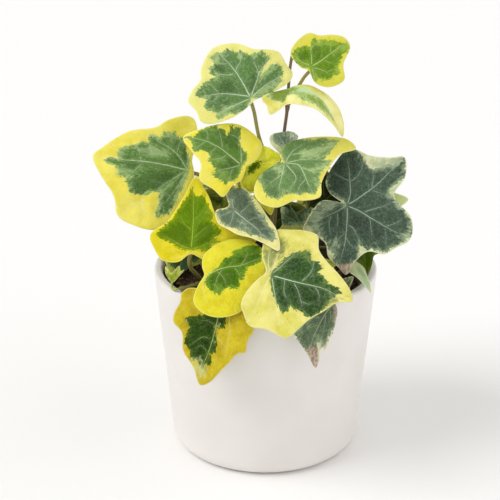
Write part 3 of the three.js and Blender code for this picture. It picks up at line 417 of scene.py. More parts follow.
# The border of each leaf's green, its main veins, and its paler, darker and dry patches: the darker
# patches are partly the leaf's own deeper green and partly painted shade, where other leaves and folds
# shade the blade. A leaf that isn't here has green that keeps a share of its edge's reach, and one
# without veins a vein to each lobe.
MARKINGS = {
    "leaf_crown": dict(
        green=[(0, 0.91), (8, 0.92), (10, 0.82), (18, 0.8), (23, 0.72), (22, 0.66), (28, 0.71),
               (37, 0.79), (50, 0.89), (55, 0.78), (55, 0.69), (63, 0.78), (70, 0.73), (72, 0.65),
               (76, 0.62), (88, 0.62), (89, 0.49), (101, 0.35), (114, 0.25), (129, 0.13), (137, 0.06),
               (211, 0.02), (224, 0.12), (235, 0.2), (242, 0.32), (254, 0.45), (260, 0.58), (268, 0.59),
               (269, 0.68), (278, 0.72), (287, 0.7), (291, 0.61), (295, 0.45), (297, 0.39), (300, 0.5),
               (298, 0.66), (300, 0.74), (305, 0.75), (309, 0.8), (313, 0.75), (317, 0.73), (321, 0.69),
               (328, 0.68), (331, 0.75), (334, 0.81), (339, 0.75), (344, 0.83), (347, 0.88), (351, 0.9),
               (354, 0.87)],
        pale=[
            [(256, 0.04), (238, 0.2), (256, 0.46), (263, 0.59), (271, 0.42), (277, 0.21)],
            [(76, 0.61), (87, 0.61), (87, 0.45), (85, 0.18), (71, 0.31), (70, 0.48)],
            [(8, 0.92), (1, 0.9), (359, 0.77), (9, 0.81)],
            [(296, 0.44), (292, 0.57), (288, 0.35), (293, 0.2), (299, 0.31)],
        ],
        dark=[
            [(21, 0.52), (8, 0.31), (38, 0.29), (46, 0.6)],
            [(57, 0.71), (63, 0.29), (70, 0.56)],
            [(10, 0.81), (1, 0.61), (9, 0.56), (19, 0.72)],
            [(339, 0.21), (317, 0.39), (312, 0.53), (303, 0.39), (298, 0.09)],
        ],
        veins=[
            [(227, 0), (351, 0.23), (352, 0.38), (353, 0.49), (355, 0.65), (357, 0.76), (359, 0.93)],
            [(354, 0.47), (348, 0.53), (340, 0.59), (336, 0.68), (338, 0.78)],
            [(357, 0.45), (9, 0.52), (17, 0.65), (16, 0.77)],
            [(357, 0.76), (351, 0.78), (346, 0.81)],
            [(306, 0.02), (303, 0.2), (303, 0.34), (304, 0.44), (300, 0.55), (299, 0.69)],
            [(305, 0.43), (315, 0.54), (319, 0.63)],
            [(253, 0.02), (273, 0.17), (273, 0.32), (270, 0.47), (269, 0.63)],
            [(332, 0.02), (39, 0.16), (43, 0.35), (46, 0.51), (50, 0.68), (52, 0.79)],
            [(46, 0.51), (38, 0.6), (34, 0.68)],
            [(46, 0.51), (56, 0.57), (61, 0.65)],
            [(121, 0.01), (81, 0.12), (79, 0.26), (78, 0.41), (80, 0.55)],
            [(270, 0.47), (261, 0.48)],
            [(355, 0.65), (4, 0.72), (7, 0.81)],
        ],
    ),
    "leaf_top_right": dict(
        green=[(116, 0.61), (105, 0.61), (97, 0.59), (78, 0.53), (68, 0.51), (65, 0.6), (61, 0.68),
               (55, 0.69), (47, 0.61), (40, 0.69), (35, 0.73), (27, 0.7), (16, 0.82), (5, 0.92),
               (358, 0.96), (350, 0.87), (349, 0.77), (343, 0.73), (330, 0.62), (324, 0.65),
               (316, 0.69), (308, 0.67), (306, 0.58), (297, 0.55), (286, 0.48), (277, 0.41),
               (272, 0.34), (265, 0.26), (261, 0.37), (247, 0.32), (238, 0.21), (200, 0.08), (159, 0.1),
               (151, 0.25), (135, 0.38), (125, 0.53)],
        pale=[
            [(62, 0.5), (60, 0.65), (47, 0.63), (32, 0.72), (23, 0.64), (41, 0.46)],
            [(10, 0.78), (2, 0.94), (355, 0.96), (350, 0.85), (357, 0.7), (359, 0.57)],
            [(224, 0.02), (293, 0.08), (271, 0.3), (252, 0.31)],
        ],
        dark=[
            [(60, 0.6), (38, 0.57), (14, 0.28), (41, 0.12)],
            [(109, 0.5), (80, 0.38), (106, 0.18), (126, 0.35)],
        ],
        veins=[
            [(142, 0.01), (2, 0.24), (4, 0.5), (5, 0.75), (3, 0.95)],
            [(75, 0.02), (65, 0.24), (65, 0.45), (50, 0.57)],
            [(276, 0.03), (309, 0.22), (307, 0.37), (305, 0.48)],
            [(224, 0.02), (254, 0.17), (256, 0.31)],
            [(2, 0.32), (345, 0.38), (338, 0.49)],
            [(5, 0.53), (351, 0.59)],
            [(110, 0.04), (123, 0.31), (116, 0.52)],
            [(307, 0.37), (320, 0.52), (321, 0.61)],
            [(4, 0.5), (15, 0.62), (24, 0.69)],
        ],
    ),
    "leaf_arched": dict(
        green=[(201, 0.36), (176, 0.24), (150, 0.2), (129, 0.14), (358, 0.11), (345, 0.24), (348, 0.34),
               (346, 0.44), (343, 0.54), (344, 0.65), (346, 0.73), (341, 0.73), (340, 0.67),
               (333, 0.59), (326, 0.49), (325, 0.42), (312, 0.34), (298, 0.26), (289, 0.19),
               (263, 0.16), (252, 0.2), (250, 0.29), (235, 0.33), (217, 0.34)],
        pale=[
            [(17, 0.13), (356, 0.26), (350, 0.36), (338, 0.37), (327, 0.23), (297, 0.15), (255, 0.13)],
            [(343, 0.44), (343, 0.57), (343, 0.67), (339, 0.6), (336, 0.5)],
        ],
        dark=[
            [(198, 0.36), (178, 0.2), (210, 0.08), (258, 0.12), (256, 0.28), (236, 0.33), (217, 0.35)],
        ],
        veins=[
            [(281, 0.02), (329, 0.14), (341, 0.25), (346, 0.34), (347, 0.44), (346, 0.57), (347, 0.71),
             (350, 0.87)],
            [(322, 0.11), (309, 0.25), (319, 0.35)],
            [(341, 0.25), (332, 0.35), (329, 0.46)],
        ],
    ),
    "leaf_left_broad": dict(
        green=[(1, 0.91), (0, 0.89), (359, 0.8), (359, 0.75), (355, 0.78), (351, 0.76), (348, 0.73),
               (345, 0.68), (344, 0.64), (340, 0.63), (335, 0.58), (331, 0.5), (327, 0.57), (321, 0.55),
               (317, 0.49), (316, 0.45), (310, 0.48), (299, 0.46), (292, 0.46), (290, 0.39),
               (284, 0.37), (283, 0.33), (278, 0.23), (262, 0.15), (247, 0.05), (113, 0.05), (85, 0.2),
               (79, 0.34), (77, 0.46), (77, 0.54), (72, 0.54), (69, 0.57), (67, 0.61), (63, 0.62),
               (61, 0.57), (58, 0.49), (46, 0.4), (43, 0.44), (42, 0.51), (36, 0.61), (31, 0.66),
               (29, 0.69), (25, 0.66), (20, 0.68), (17, 0.67), (14, 0.74), (11, 0.75), (7, 0.78),
               (6, 0.84), (4, 0.88)],
        pale=[
            [(45, 0.38), (44, 0.2), (42, 0.09), (55, 0.18), (54, 0.3), (56, 0.44)],
            [(346, 0.58), (332, 0.48), (316, 0.25), (342, 0.25), (350, 0.43)],
            [(353, 0.77), (349, 0.7), (355, 0.68), (359, 0.74)],
            [(7, 0.78), (7, 0.66), (11, 0.59), (16, 0.68), (12, 0.75)],
            [(305, 0.42), (293, 0.42), (298, 0.35), (306, 0.36)],
            [(66, 0.12), (99, 0.06), (77, 0.34), (74, 0.4)],
        ],
        dark=[
            [(17, 0.64), (11, 0.38), (28, 0.13), (42, 0.35), (38, 0.58), (30, 0.66)],
            [(0, 0.88), (0, 0.55), (6, 0.4), (5, 0.67)],
            [(287, 0.42), (278, 0.25), (252, 0.06), (291, 0.12), (300, 0.27)],
            [(60, 0.48), (68, 0.32), (75, 0.47), (70, 0.53)],
        ],
        veins=[
            [(329, 0.01), (354, 0.12), (356, 0.29), (358, 0.5), (0, 0.72), (0, 0.91)],
            [(303, 0.02), (306, 0.13), (310, 0.22), (316, 0.33), (322, 0.44), (322, 0.54)],
            [(310, 0.22), (296, 0.28), (287, 0.36)],
            [(21, 0.02), (40, 0.17), (41, 0.29), (42, 0.39)],
            [(103, 0.02), (67, 0.15), (66, 0.31), (64, 0.43)],
            [(56, 0.47), (66, 0.49), (70, 0.53)],
            [(359, 0.5), (352, 0.53), (348, 0.55), (340, 0.63)],
            [(0, 0.49), (7, 0.54), (13, 0.61), (17, 0.68)],
            [(40, 0.57), (48, 0.64), (56, 0.69)],
            [(44, 0.6), (41, 0.68), (41, 0.77)],
            [(345, 0.4), (337, 0.46), (331, 0.51)],
            [(64, 0.43), (60, 0.48), (60, 0.54)],
            [(303, 0.02), (275, 0.12), (275, 0.21)],
        ],
    ),
    "leaf_upper_middle": dict(
        green=[(0, 0.98), (357, 0.94), (354, 0.86), (350, 0.84), (346, 0.84), (341, 0.8), (339, 0.8),
               (333, 0.75), (328, 0.75), (325, 0.72), (327, 0.67), (322, 0.62), (321, 0.58),
               (321, 0.51), (315, 0.54), (311, 0.56), (310, 0.62), (307, 0.62), (306, 0.56),
               (302, 0.55), (299, 0.59), (294, 0.58), (295, 0.42), (294, 0.31), (287, 0.24),
               (272, 0.21), (248, 0.12), (243, 0.04), (109, 0.01), (99, 0.08), (94, 0.16), (88, 0.23),
               (83, 0.29), (74, 0.33), (71, 0.41), (64, 0.4), (51, 0.47), (50, 0.53), (46, 0.48),
               (42, 0.51), (40, 0.45), (32, 0.44), (29, 0.48), (23, 0.51), (19, 0.54), (14, 0.53),
               (7, 0.56), (6, 0.63), (8, 0.7), (11, 0.77), (9, 0.81), (2, 0.85), (0, 0.9)],
        pale=[
            [(14, 0.53), (8, 0.4), (12, 0.26), (23, 0.42)],
            [(38, 0.46), (41, 0.27), (49, 0.18), (69, 0.32), (55, 0.42)],
        ],
        dark=[
            [(330, 0.73), (311, 0.59), (295, 0.55), (300, 0.23), (334, 0.33), (337, 0.51)],
            [(357, 0.29), (11, 0.07), (74, 0.26), (33, 0.33)],
        ],
        veins=[
            [(15, 0.02), (349, 0.16), (347, 0.29), (347, 0.41), (350, 0.54), (352, 0.67), (355, 0.8),
             (359, 0.96)],
            [(345, 0.4), (336, 0.46), (329, 0.59), (325, 0.67)],
            [(349, 0.49), (1, 0.51), (10, 0.56)],
            [(352, 0.67), (2, 0.73), (7, 0.8)],
            [(350, 0.29), (7, 0.34), (15, 0.48)],
            [(15, 0.02), (298, 0.15), (295, 0.31), (296, 0.4), (315, 0.52)],
            [(15, 0.02), (38, 0.17), (38, 0.33), (40, 0.47)],
            [(42, 0.16), (64, 0.26), (73, 0.32)],
            [(351, 0.66), (344, 0.69), (340, 0.77)],
            [(299, 0.14), (287, 0.2)],
        ],
    ),
    "leaf_centre_right": dict(
        green=[(159, 0.3), (151, 0.47), (142, 0.54), (132, 0.68), (123, 0.75), (114, 0.76), (102, 0.82),
               (96, 0.93), (89, 1.03), (84, 1.19), (83, 1.23), (80, 1.12), (75, 0.98), (70, 0.89),
               (66, 0.81), (60, 0.74), (59, 0.83), (55, 0.86), (48, 0.82), (40, 0.75), (30, 0.7),
               (19, 0.73), (11, 0.82), (4, 0.88), (358, 0.9), (354, 0.87), (350, 0.78), (345, 0.79),
               (338, 0.79), (333, 0.73), (326, 0.71), (320, 0.74), (316, 0.82), (312, 0.85),
               (304, 0.84), (298, 0.81), (290, 0.73), (282, 0.65), (273, 0.63), (262, 0.59),
               (252, 0.54), (247, 0.48), (237, 0.35), (227, 0.22), (226, 0.08), (162, 0.01), (160, 0.12)],
        pale=[
            [(97, 0.39), (88, 0.78), (83, 1.22), (73, 0.93), (63, 0.63), (69, 0.3)],
            [(256, 0.25), (287, 0.07), (319, 0.23), (302, 0.36)],
            [(28, 0.41), (50, 0.69), (57, 0.82), (43, 0.76), (25, 0.59)],
        ],
        dark=[
            [(285, 0.71), (304, 0.52), (312, 0.8), (300, 0.83)],
            [(356, 0.12), (9, 0.38), (357, 0.84), (339, 0.67)],
            [(258, 0.46), (290, 0.15), (300, 0.43), (284, 0.57)],
        ],
        veins=[
            [(79, 0.02), (117, 0.26), (113, 0.46), (108, 0.66)],
            [(0, 0.02), (37, 0.24), (14, 0.42), (1, 0.65), (357, 0.86)],
            [(25, 0.31), (27, 0.51), (39, 0.68)],
            [(55, 0.05), (65, 0.39), (59, 0.79)],
            [(315, 0.04), (312, 0.28), (310, 0.51), (311, 0.66)],
            [(311, 0.59), (320, 0.65)],
            [(339, 0.04), (349, 0.43), (328, 0.6)],
            [(114, 0.24), (87, 0.47), (82, 0.81)],
            [(312, 0.28), (293, 0.44), (284, 0.57)],
            [(6, 0.55), (346, 0.61), (340, 0.72)],
            [(160, 0.07), (229, 0.17)],
        ],
    ),
    "leaf_right_star": dict(
        green=[(126, 0.86), (120, 0.9), (112, 0.93), (107, 0.92), (101, 0.85), (95, 0.78), (90, 0.74),
               (84, 0.68), (78, 0.68), (75, 0.74), (71, 0.83), (67, 0.92), (66, 1.02), (66, 1.13),
               (63, 1.14), (59, 1.07), (54, 0.99), (49, 0.89), (47, 0.79), (46, 0.71), (43, 0.65),
               (39, 0.64), (31, 0.67), (25, 0.72), (19, 0.77), (13, 0.85), (8, 0.92), (2, 0.97),
               (357, 0.99), (351, 0.96), (345, 0.92), (338, 0.88), (331, 0.87), (325, 0.81),
               (320, 0.74), (314, 0.69), (310, 0.61), (306, 0.66), (304, 0.74), (300, 0.8), (295, 0.85),
               (290, 0.9), (284, 0.89), (281, 0.86), (278, 0.81), (278, 0.73), (273, 0.71), (267, 0.67),
               (263, 0.61), (255, 0.58), (247, 0.6), (241, 0.61), (238, 0.56), (233, 0.59), (227, 0.62),
               (220, 0.56), (210, 0.48), (199, 0.42), (187, 0.35), (177, 0.2), (172, 0.09), (172, 0.03),
               (150, 0.09), (162, 0.2), (164, 0.3), (159, 0.36), (150, 0.46), (143, 0.55), (135, 0.66),
               (130, 0.75)],
        pale=[
            [(88, 0.77), (78, 0.85), (71, 0.99), (67, 1.14), (63, 1.11), (63, 0.98), (67, 0.83),
             (74, 0.68), (83, 0.65)],
            [(45, 0.6), (48, 0.73), (48, 0.84), (42, 0.86), (37, 0.72), (26, 0.75), (16, 0.81),
             (19, 0.71), (31, 0.63)],
            [(350, 0.86), (358, 0.87), (6, 0.93), (0, 1), (351, 0.98)],
            [(223, 0.59), (212, 0.49), (195, 0.38), (177, 0.26), (161, 0.11), (203, 0.12), (221, 0.27),
             (229, 0.41), (243, 0.48), (256, 0.53), (247, 0.6), (235, 0.6)],
            [(263, 0.59), (274, 0.5), (283, 0.57), (278, 0.75)],
        ],
        dark=[
            [(132, 0.7), (113, 0.76), (116, 0.14), (154, 0.33)],
            [(106, 0.75), (92, 0.61), (101, 0.4)],
            [(337, 0.1), (350, 0.46), (352, 0.77), (334, 0.68), (315, 0.53), (305, 0.32)],
        ],
        dry=[
            [(280, 0.86), (291, 0.86), (298, 0.84), (294, 0.96), (289, 1.13), (283, 1.02)],
        ],
        veins=[
            [(90, 0.01), (98, 0.19), (105, 0.36), (110, 0.64), (112, 0.76)],
            [(105, 0.38), (124, 0.47), (133, 0.59)],
            [(105, 0.36), (93, 0.5), (92, 0.64), (96, 0.73)],
            [(90, 0.01), (57, 0.19), (59, 0.43), (62, 0.69), (64, 0.87), (65, 1.03)],
            [(59, 0.43), (70, 0.56), (79, 0.68)],
            [(58, 0.42), (43, 0.53), (37, 0.64)],
            [(62, 0.76), (55, 0.86)],
            [(357, 0), (356, 0.2), (352, 0.39), (352, 0.61), (354, 0.84), (356, 0.95)],
            [(357, 0.25), (13, 0.37), (22, 0.53), (28, 0.65)],
            [(352, 0.61), (2, 0.73), (8, 0.79)],
            [(351, 0.37), (337, 0.47), (328, 0.59)],
            [(352, 0.6), (343, 0.7), (335, 0.79)],
            [(308, 0.01), (292, 0.19), (290, 0.36), (288, 0.58), (285, 0.77), (285, 0.88)],
            [(292, 0.28), (306, 0.35), (309, 0.46), (311, 0.56)],
            [(290, 0.39), (277, 0.5), (272, 0.62)],
            [(288, 0.45), (296, 0.57), (302, 0.64)],
            [(237, 0.01), (231, 0.16), (228, 0.3), (228, 0.42), (229, 0.52)],
            [(230, 0.25), (248, 0.37), (262, 0.47)],
            [(231, 0.16), (261, 0.25), (267, 0.36)],
        ],
    ),
    "leaf_grey_arrow": dict(
        green=[(229, 0.26), (217, 0.22), (204, 0.1), (172, 0.11), (158, 0.32), (148, 0.43), (136, 0.46),
               (123, 0.45), (107, 0.39), (86, 0.33), (66, 0.32), (48, 0.35), (35, 0.44), (25, 0.53),
               (16, 0.64), (12, 0.74), (6, 0.83), (2, 0.84), (0, 0.77), (356, 0.68), (352, 0.61),
               (346, 0.54), (338, 0.44), (326, 0.35), (307, 0.3), (276, 0.27), (246, 0.25)],
        pale=[
            [(151, 0.39), (144, 0.44), (140, 0.28), (156, 0.16)],
            [(339, 0.21), (358, 0.3), (352, 0.45), (340, 0.41)],
            [(42, 0.34), (31, 0.45), (16, 0.59), (18, 0.49)],
        ],
        dark=[
            [(138, 0.37), (103, 0.33), (62, 0.26), (27, 0.11), (119, 0.09)],
            [(21, 0.18), (38, 0.34), (10, 0.69), (359, 0.65)],
        ],
        veins=[
            [(141, 0.01), (2, 0.22), (2, 0.45), (0, 0.63), (0, 0.79)],
            [(141, 0.01), (245, 0.11), (246, 0.22)],
            [(141, 0.01), (308, 0.15), (303, 0.28)],
            [(2, 0.22), (339, 0.29), (330, 0.36)],
            [(141, 0.01), (144, 0.2), (133, 0.39)],
            [(3, 0.11), (65, 0.22), (78, 0.32)],
            [(1, 0.42), (351, 0.47), (346, 0.54)],
            [(2, 0.3), (23, 0.36), (26, 0.46)],
            [(1, 0.54), (9, 0.59), (11, 0.68)],
        ],
    ),
    "leaf_bright_left": dict(
        green=[(2, 0.85), (4, 0.78), (8, 0.74), (13, 0.66), (24, 0.56), (35, 0.5), (46, 0.51),
               (59, 0.53), (68, 0.55), (72, 0.52), (72, 0.39), (80, 0.23), (96, 0.13), (134, 0.03),
               (259, 0.06), (262, 0.17), (268, 0.27), (274, 0.31), (283, 0.27), (286, 0.38),
               (297, 0.37), (300, 0.46), (310, 0.48), (320, 0.46), (328, 0.48), (330, 0.56),
               (339, 0.63), (346, 0.71), (350, 0.77), (355, 0.77), (359, 0.75)],
        dark=[
            [(64, 0.5), (32, 0.42), (10, 0.33), (42, 0.07), (74, 0.29)],
            [(351, 0.34), (328, 0.46), (301, 0.39), (297, 0.19), (325, 0.1)],
        ],
        veins=[
            [(84, 0.01), (0, 0.21), (0, 0.48), (1, 0.69), (2, 0.92)],
            [(84, 0.01), (72, 0.17), (66, 0.33), (66, 0.46)],
            [(84, 0.01), (290, 0.17), (295, 0.31), (299, 0.41)],
            [(0, 0.25), (18, 0.36), (23, 0.51)],
            [(1, 0.39), (349, 0.51), (346, 0.62)],
            [(359, 0.14), (334, 0.28), (327, 0.4)],
            [(84, 0.01), (130, 0.15), (115, 0.3)],
            [(278, 0.01), (242, 0.2), (260, 0.43)],
        ],
    ),
    "leaf_folded_front": dict(
        green=[(226, 0.14), (221, 0.03), (25, 0.09), (24, 0.19), (28, 0.3), (27, 0.4), (24, 0.51),
               (28, 0.57), (22, 0.66), (22, 0.78), (18, 0.88), (15, 0.95), (10, 0.95), (4, 0.91),
               (358, 0.87), (357, 0.77), (354, 0.68), (354, 0.63), (344, 0.6), (334, 0.56), (335, 0.5),
               (326, 0.53), (315, 0.54), (310, 0.46), (304, 0.37), (292, 0.36), (283, 0.38),
               (274, 0.31), (264, 0.26), (253, 0.22)],
        pale=[
            [(284, 0.19), (310, 0.27), (290, 0.35), (276, 0.32)],
            [(25, 0.6), (21, 0.77), (16, 0.61)],
        ],
        dark=[
            [(277, 0.08), (2, 0.17), (354, 0.42), (322, 0.51), (299, 0.35), (275, 0.26)],
            [(18, 0.39), (11, 0.69), (5, 0.86), (3, 0.64)],
        ],
        veins=[
            [(183, 0.01), (13, 0.15), (6, 0.35), (0, 0.53), (1, 0.7), (2, 0.89)],
            [(8, 0.25), (333, 0.16), (285, 0.21), (273, 0.28)],
            [(359, 0.53), (9, 0.67), (17, 0.77)],
            [(1, 0.44), (345, 0.49), (336, 0.53)],
            [(13, 0.15), (332, 0.25), (311, 0.34)],
            [(221, 0.03), (232, 0.22), (246, 0.4)],
            [(6, 0.35), (16, 0.48)],
        ],
    ),
    "leaf_front_large": dict(
        green=[(298, 0.02), (79, 0.05), (67, 0.12), (67, 0.18), (69, 0.26), (64, 0.28), (68, 0.33),
               (62, 0.39), (62, 0.44), (57, 0.43), (53, 0.5), (48, 0.52), (42, 0.49), (37, 0.5),
               (33, 0.57), (28, 0.59), (23, 0.6), (19, 0.55), (16, 0.6), (12, 0.65), (8, 0.7),
               (6, 0.75), (6, 0.81), (4, 0.85), (2, 0.85), (0, 0.8), (354, 0.74), (352, 0.78),
               (348, 0.76), (342, 0.76), (337, 0.73), (332, 0.72), (328, 0.68), (328, 0.61),
               (328, 0.57), (323, 0.52), (321, 0.47), (316, 0.5), (309, 0.51), (304, 0.47), (303, 0.4),
               (300, 0.32), (295, 0.2), (292, 0.12)],
        pale=[
            [(129, 0.31), (108, 0.34), (96, 0.45), (86, 0.45), (79, 0.34), (77, 0.21), (86, 0.11),
             (140, 0.02), (140, 0.16)],
            [(59, 0.43), (50, 0.51), (38, 0.5), (39, 0.41)],
            [(353, 0.71), (0, 0.83), (1, 0.92), (352, 0.83), (347, 0.78)],
        ],
        dark=[
            [(326, 0.22), (354, 0.39), (0, 0.64), (1, 0.8), (354, 0.74), (347, 0.74), (334, 0.7),
             (330, 0.59)],
            [(314, 0.15), (326, 0.38), (314, 0.47), (308, 0.36)],
            [(56, 0.23), (55, 0.36), (42, 0.42), (21, 0.3), (23, 0.21)],
        ],
        veins=[
            [(334, 0.04), (358, 0.27), (1, 0.43), (2, 0.68), (0, 0.83), (0, 0.95)],
            [(1, 0.37), (15, 0.44), (26, 0.49), (39, 0.52)],
            [(357, 0.02), (56, 0.17), (60, 0.29), (61, 0.4)],
            [(358, 0.29), (346, 0.39), (336, 0.5), (331, 0.57)],
            [(2, 0.53), (355, 0.62), (346, 0.67)],
            [(2, 0.7), (357, 0.77)],
            [(358, 0.17), (353, 0.19), (327, 0.27), (322, 0.38)],
            [(315, 0.05), (302, 0.37), (301, 0.64)],
            [(288, 0.04), (270, 0.26), (270, 0.42)],
            [(336, 0.48), (340, 0.58), (344, 0.61)],
            [(85, 0), (120, 0.14), (114, 0.28)],
            [(37, 0.01), (91, 0.2), (88, 0.37)],
        ],
    ),
    "leaf_hanging_left": dict(
        green=[(307, 0.42), (309, 0.34), (313, 0.24), (351, 0.13), (46, 0.13), (37, 0.19), (25, 0.26),
               (17, 0.29), (9, 0.25), (3, 0.29), (8, 0.38), (8, 0.47), (8, 0.56), (2, 0.6), (6, 0.67),
               (5, 0.74), (359, 0.73), (0, 0.8), (357, 0.81), (351, 0.75), (347, 0.75), (343, 0.74),
               (341, 0.68), (336, 0.67), (330, 0.64), (327, 0.58), (323, 0.49), (316, 0.47), (309, 0.48)],
        pale=[
            [(344, 0.72), (352, 0.7), (359, 0.73), (3, 0.82), (0, 0.93), (355, 0.91), (350, 0.81)],
        ],
        dark=[
            [(332, 0.58), (345, 0.4), (2, 0.49), (358, 0.65), (346, 0.7)],
            [(315, 0.31), (343, 0.17), (355, 0.33), (331, 0.34)],
        ],
        veins=[
            [(195, 0.12), (357, 0.14), (1, 0.36), (0, 0.57), (358, 0.78), (359, 0.93)],
            [(358, 0.43), (346, 0.44), (340, 0.53), (337, 0.63)],
            [(359, 0.59), (348, 0.55), (344, 0.63)],
            [(0, 0.25), (331, 0.27), (320, 0.35)],
            [(161, 0.09), (36, 0.3), (24, 0.46), (20, 0.59)],
            [(1, 0.36), (18, 0.46), (22, 0.52)],
        ],
    ),
    "leaf_hanging_right": dict(
        green=[(91, 0.17), (39, 0.3), (25, 0.42), (17, 0.49), (11, 0.59), (4, 0.66), (0, 0.59),
               (357, 0.63), (358, 0.73), (359, 0.88), (358, 1.02), (352, 0.84), (345, 0.78),
               (337, 0.72), (328, 0.67), (319, 0.67), (314, 0.68), (315, 0.5), (318, 0.35), (322, 0.23),
               (330, 0.09)],
        pale=[
            [(351, 0.52), (3, 0.5), (7, 0.72), (359, 0.65)],
            [(315, 0.64), (319, 0.43), (331, 0.59), (328, 0.66)],
            [(317, 0.38), (324, 0.28), (337, 0.49)],
        ],
        dark=[
            [(331, 0.2), (59, 0.12), (23, 0.29), (355, 0.4)],
        ],
        dry=[
            [(345, 0.78), (349, 0.68), (359, 0.71), (2, 1.06), (356, 1.04), (351, 0.88)],
            [(60, 0.15), (85, 0.19), (31, 0.41), (27, 0.38)],
        ],
        veins=[
            [(74, 0.12), (9, 0.19), (351, 0.41), (349, 0.63), (352, 0.81)],
            [(9, 0.19), (6, 0.35), (2, 0.53)],
            [(354, 0.36), (338, 0.45), (331, 0.57)],
            [(355, 0.25), (329, 0.33), (325, 0.45)],
            [(36, 0.13), (25, 0.26), (15, 0.37)],
        ],
    ),
    "leaf_stem_small": dict(
        green=[(6, 0.96), (346, 1.01), (324, 1.01), (301, 1.05), (283, 1.15), (267, 1.2), (267, 0.74),
               (272, 0.35), (2, 0.27), (17, 0.61)],
        pale=[
            [(311, 0.99), (287, 1.15), (267, 1.2), (273, 0.72), (298, 0.74)],
        ],
        veins=[
            [(298, 0.24), (339, 0.64), (347, 0.98)],
            [(298, 0.24), (305, 0.65), (305, 1.02)],
            [(298, 0.24), (276, 0.76), (273, 1.13)],
            [(298, 0.24), (6, 0.49), (8, 0.85)],
        ],
    ),
    "leaf_behind_upper": dict(
        green=[(267, 0.38), (281, 0.2), (339, 0.18), (359, 0.32), (356, 0.43), (337, 0.43), (315, 0.38),
               (281, 0.4)],
        veins=[
            [(344, 0.41), (294, 0.34), (256, 0.56)],
            [(344, 0.41), (19, 0.63), (27, 0.8)],
            [(344, 0.41), (353, 0.69), (357, 0.89)],
        ],
    ),
    "leaf_dark_inner": dict(
        green=[(29, 0.67), (9, 0.88), (355, 1.04), (343, 1.01), (321, 0.91), (309, 0.98), (301, 0.94),
               (306, 0.62), (323, 0.28)],
        pale=[
            [(21, 0.72), (5, 0.9), (355, 0.98), (2, 0.78)],
        ],
        veins=[
            [(323, 0.19), (342, 0.59), (347, 0.94)],
            [(323, 0.19), (311, 0.63), (306, 0.9)],
            [(346, 0.42), (3, 0.69), (5, 0.86)],
        ],
    ),
    "leaf_shaded_left": dict(
        green=[(356, 0.82), (357, 0.54), (358, 0.22), (78, 0.24), (74, 0.42), (40, 0.68), (18, 0.81)],
    ),
    "leaf_edge_on": dict(
        green=[(36, 0.07), (66, 0.22), (25, 0.44), (8, 0.73), (356, 0.89), (347, 0.62), (340, 0.31)],
    ),
}


class Look(NamedTuple):
    """A leaf's finish and its colours, as sRGB values from 0 to 255."""

    finish: str
    edge: tuple
    edge_deep: tuple  # a deeper tone in that edge
    mid: tuple  # the green beside the edge
    deep: tuple  # the green further in
    pale: tuple  # the paler patches of the green
    vein: tuple
    keep: float = 0.74  # the share of the edge's reach that made-up green keeps
    specks: float = 0.0  # how strongly the edge is specked


FAR_SIDE_LOOK = Look(
    "leaf_cream_edged", edge=(246, 232, 92), edge_deep=(232, 214, 50), mid=(128, 160, 96),
    deep=(84, 126, 70), pale=(164, 188, 118), vein=(196, 216, 160))

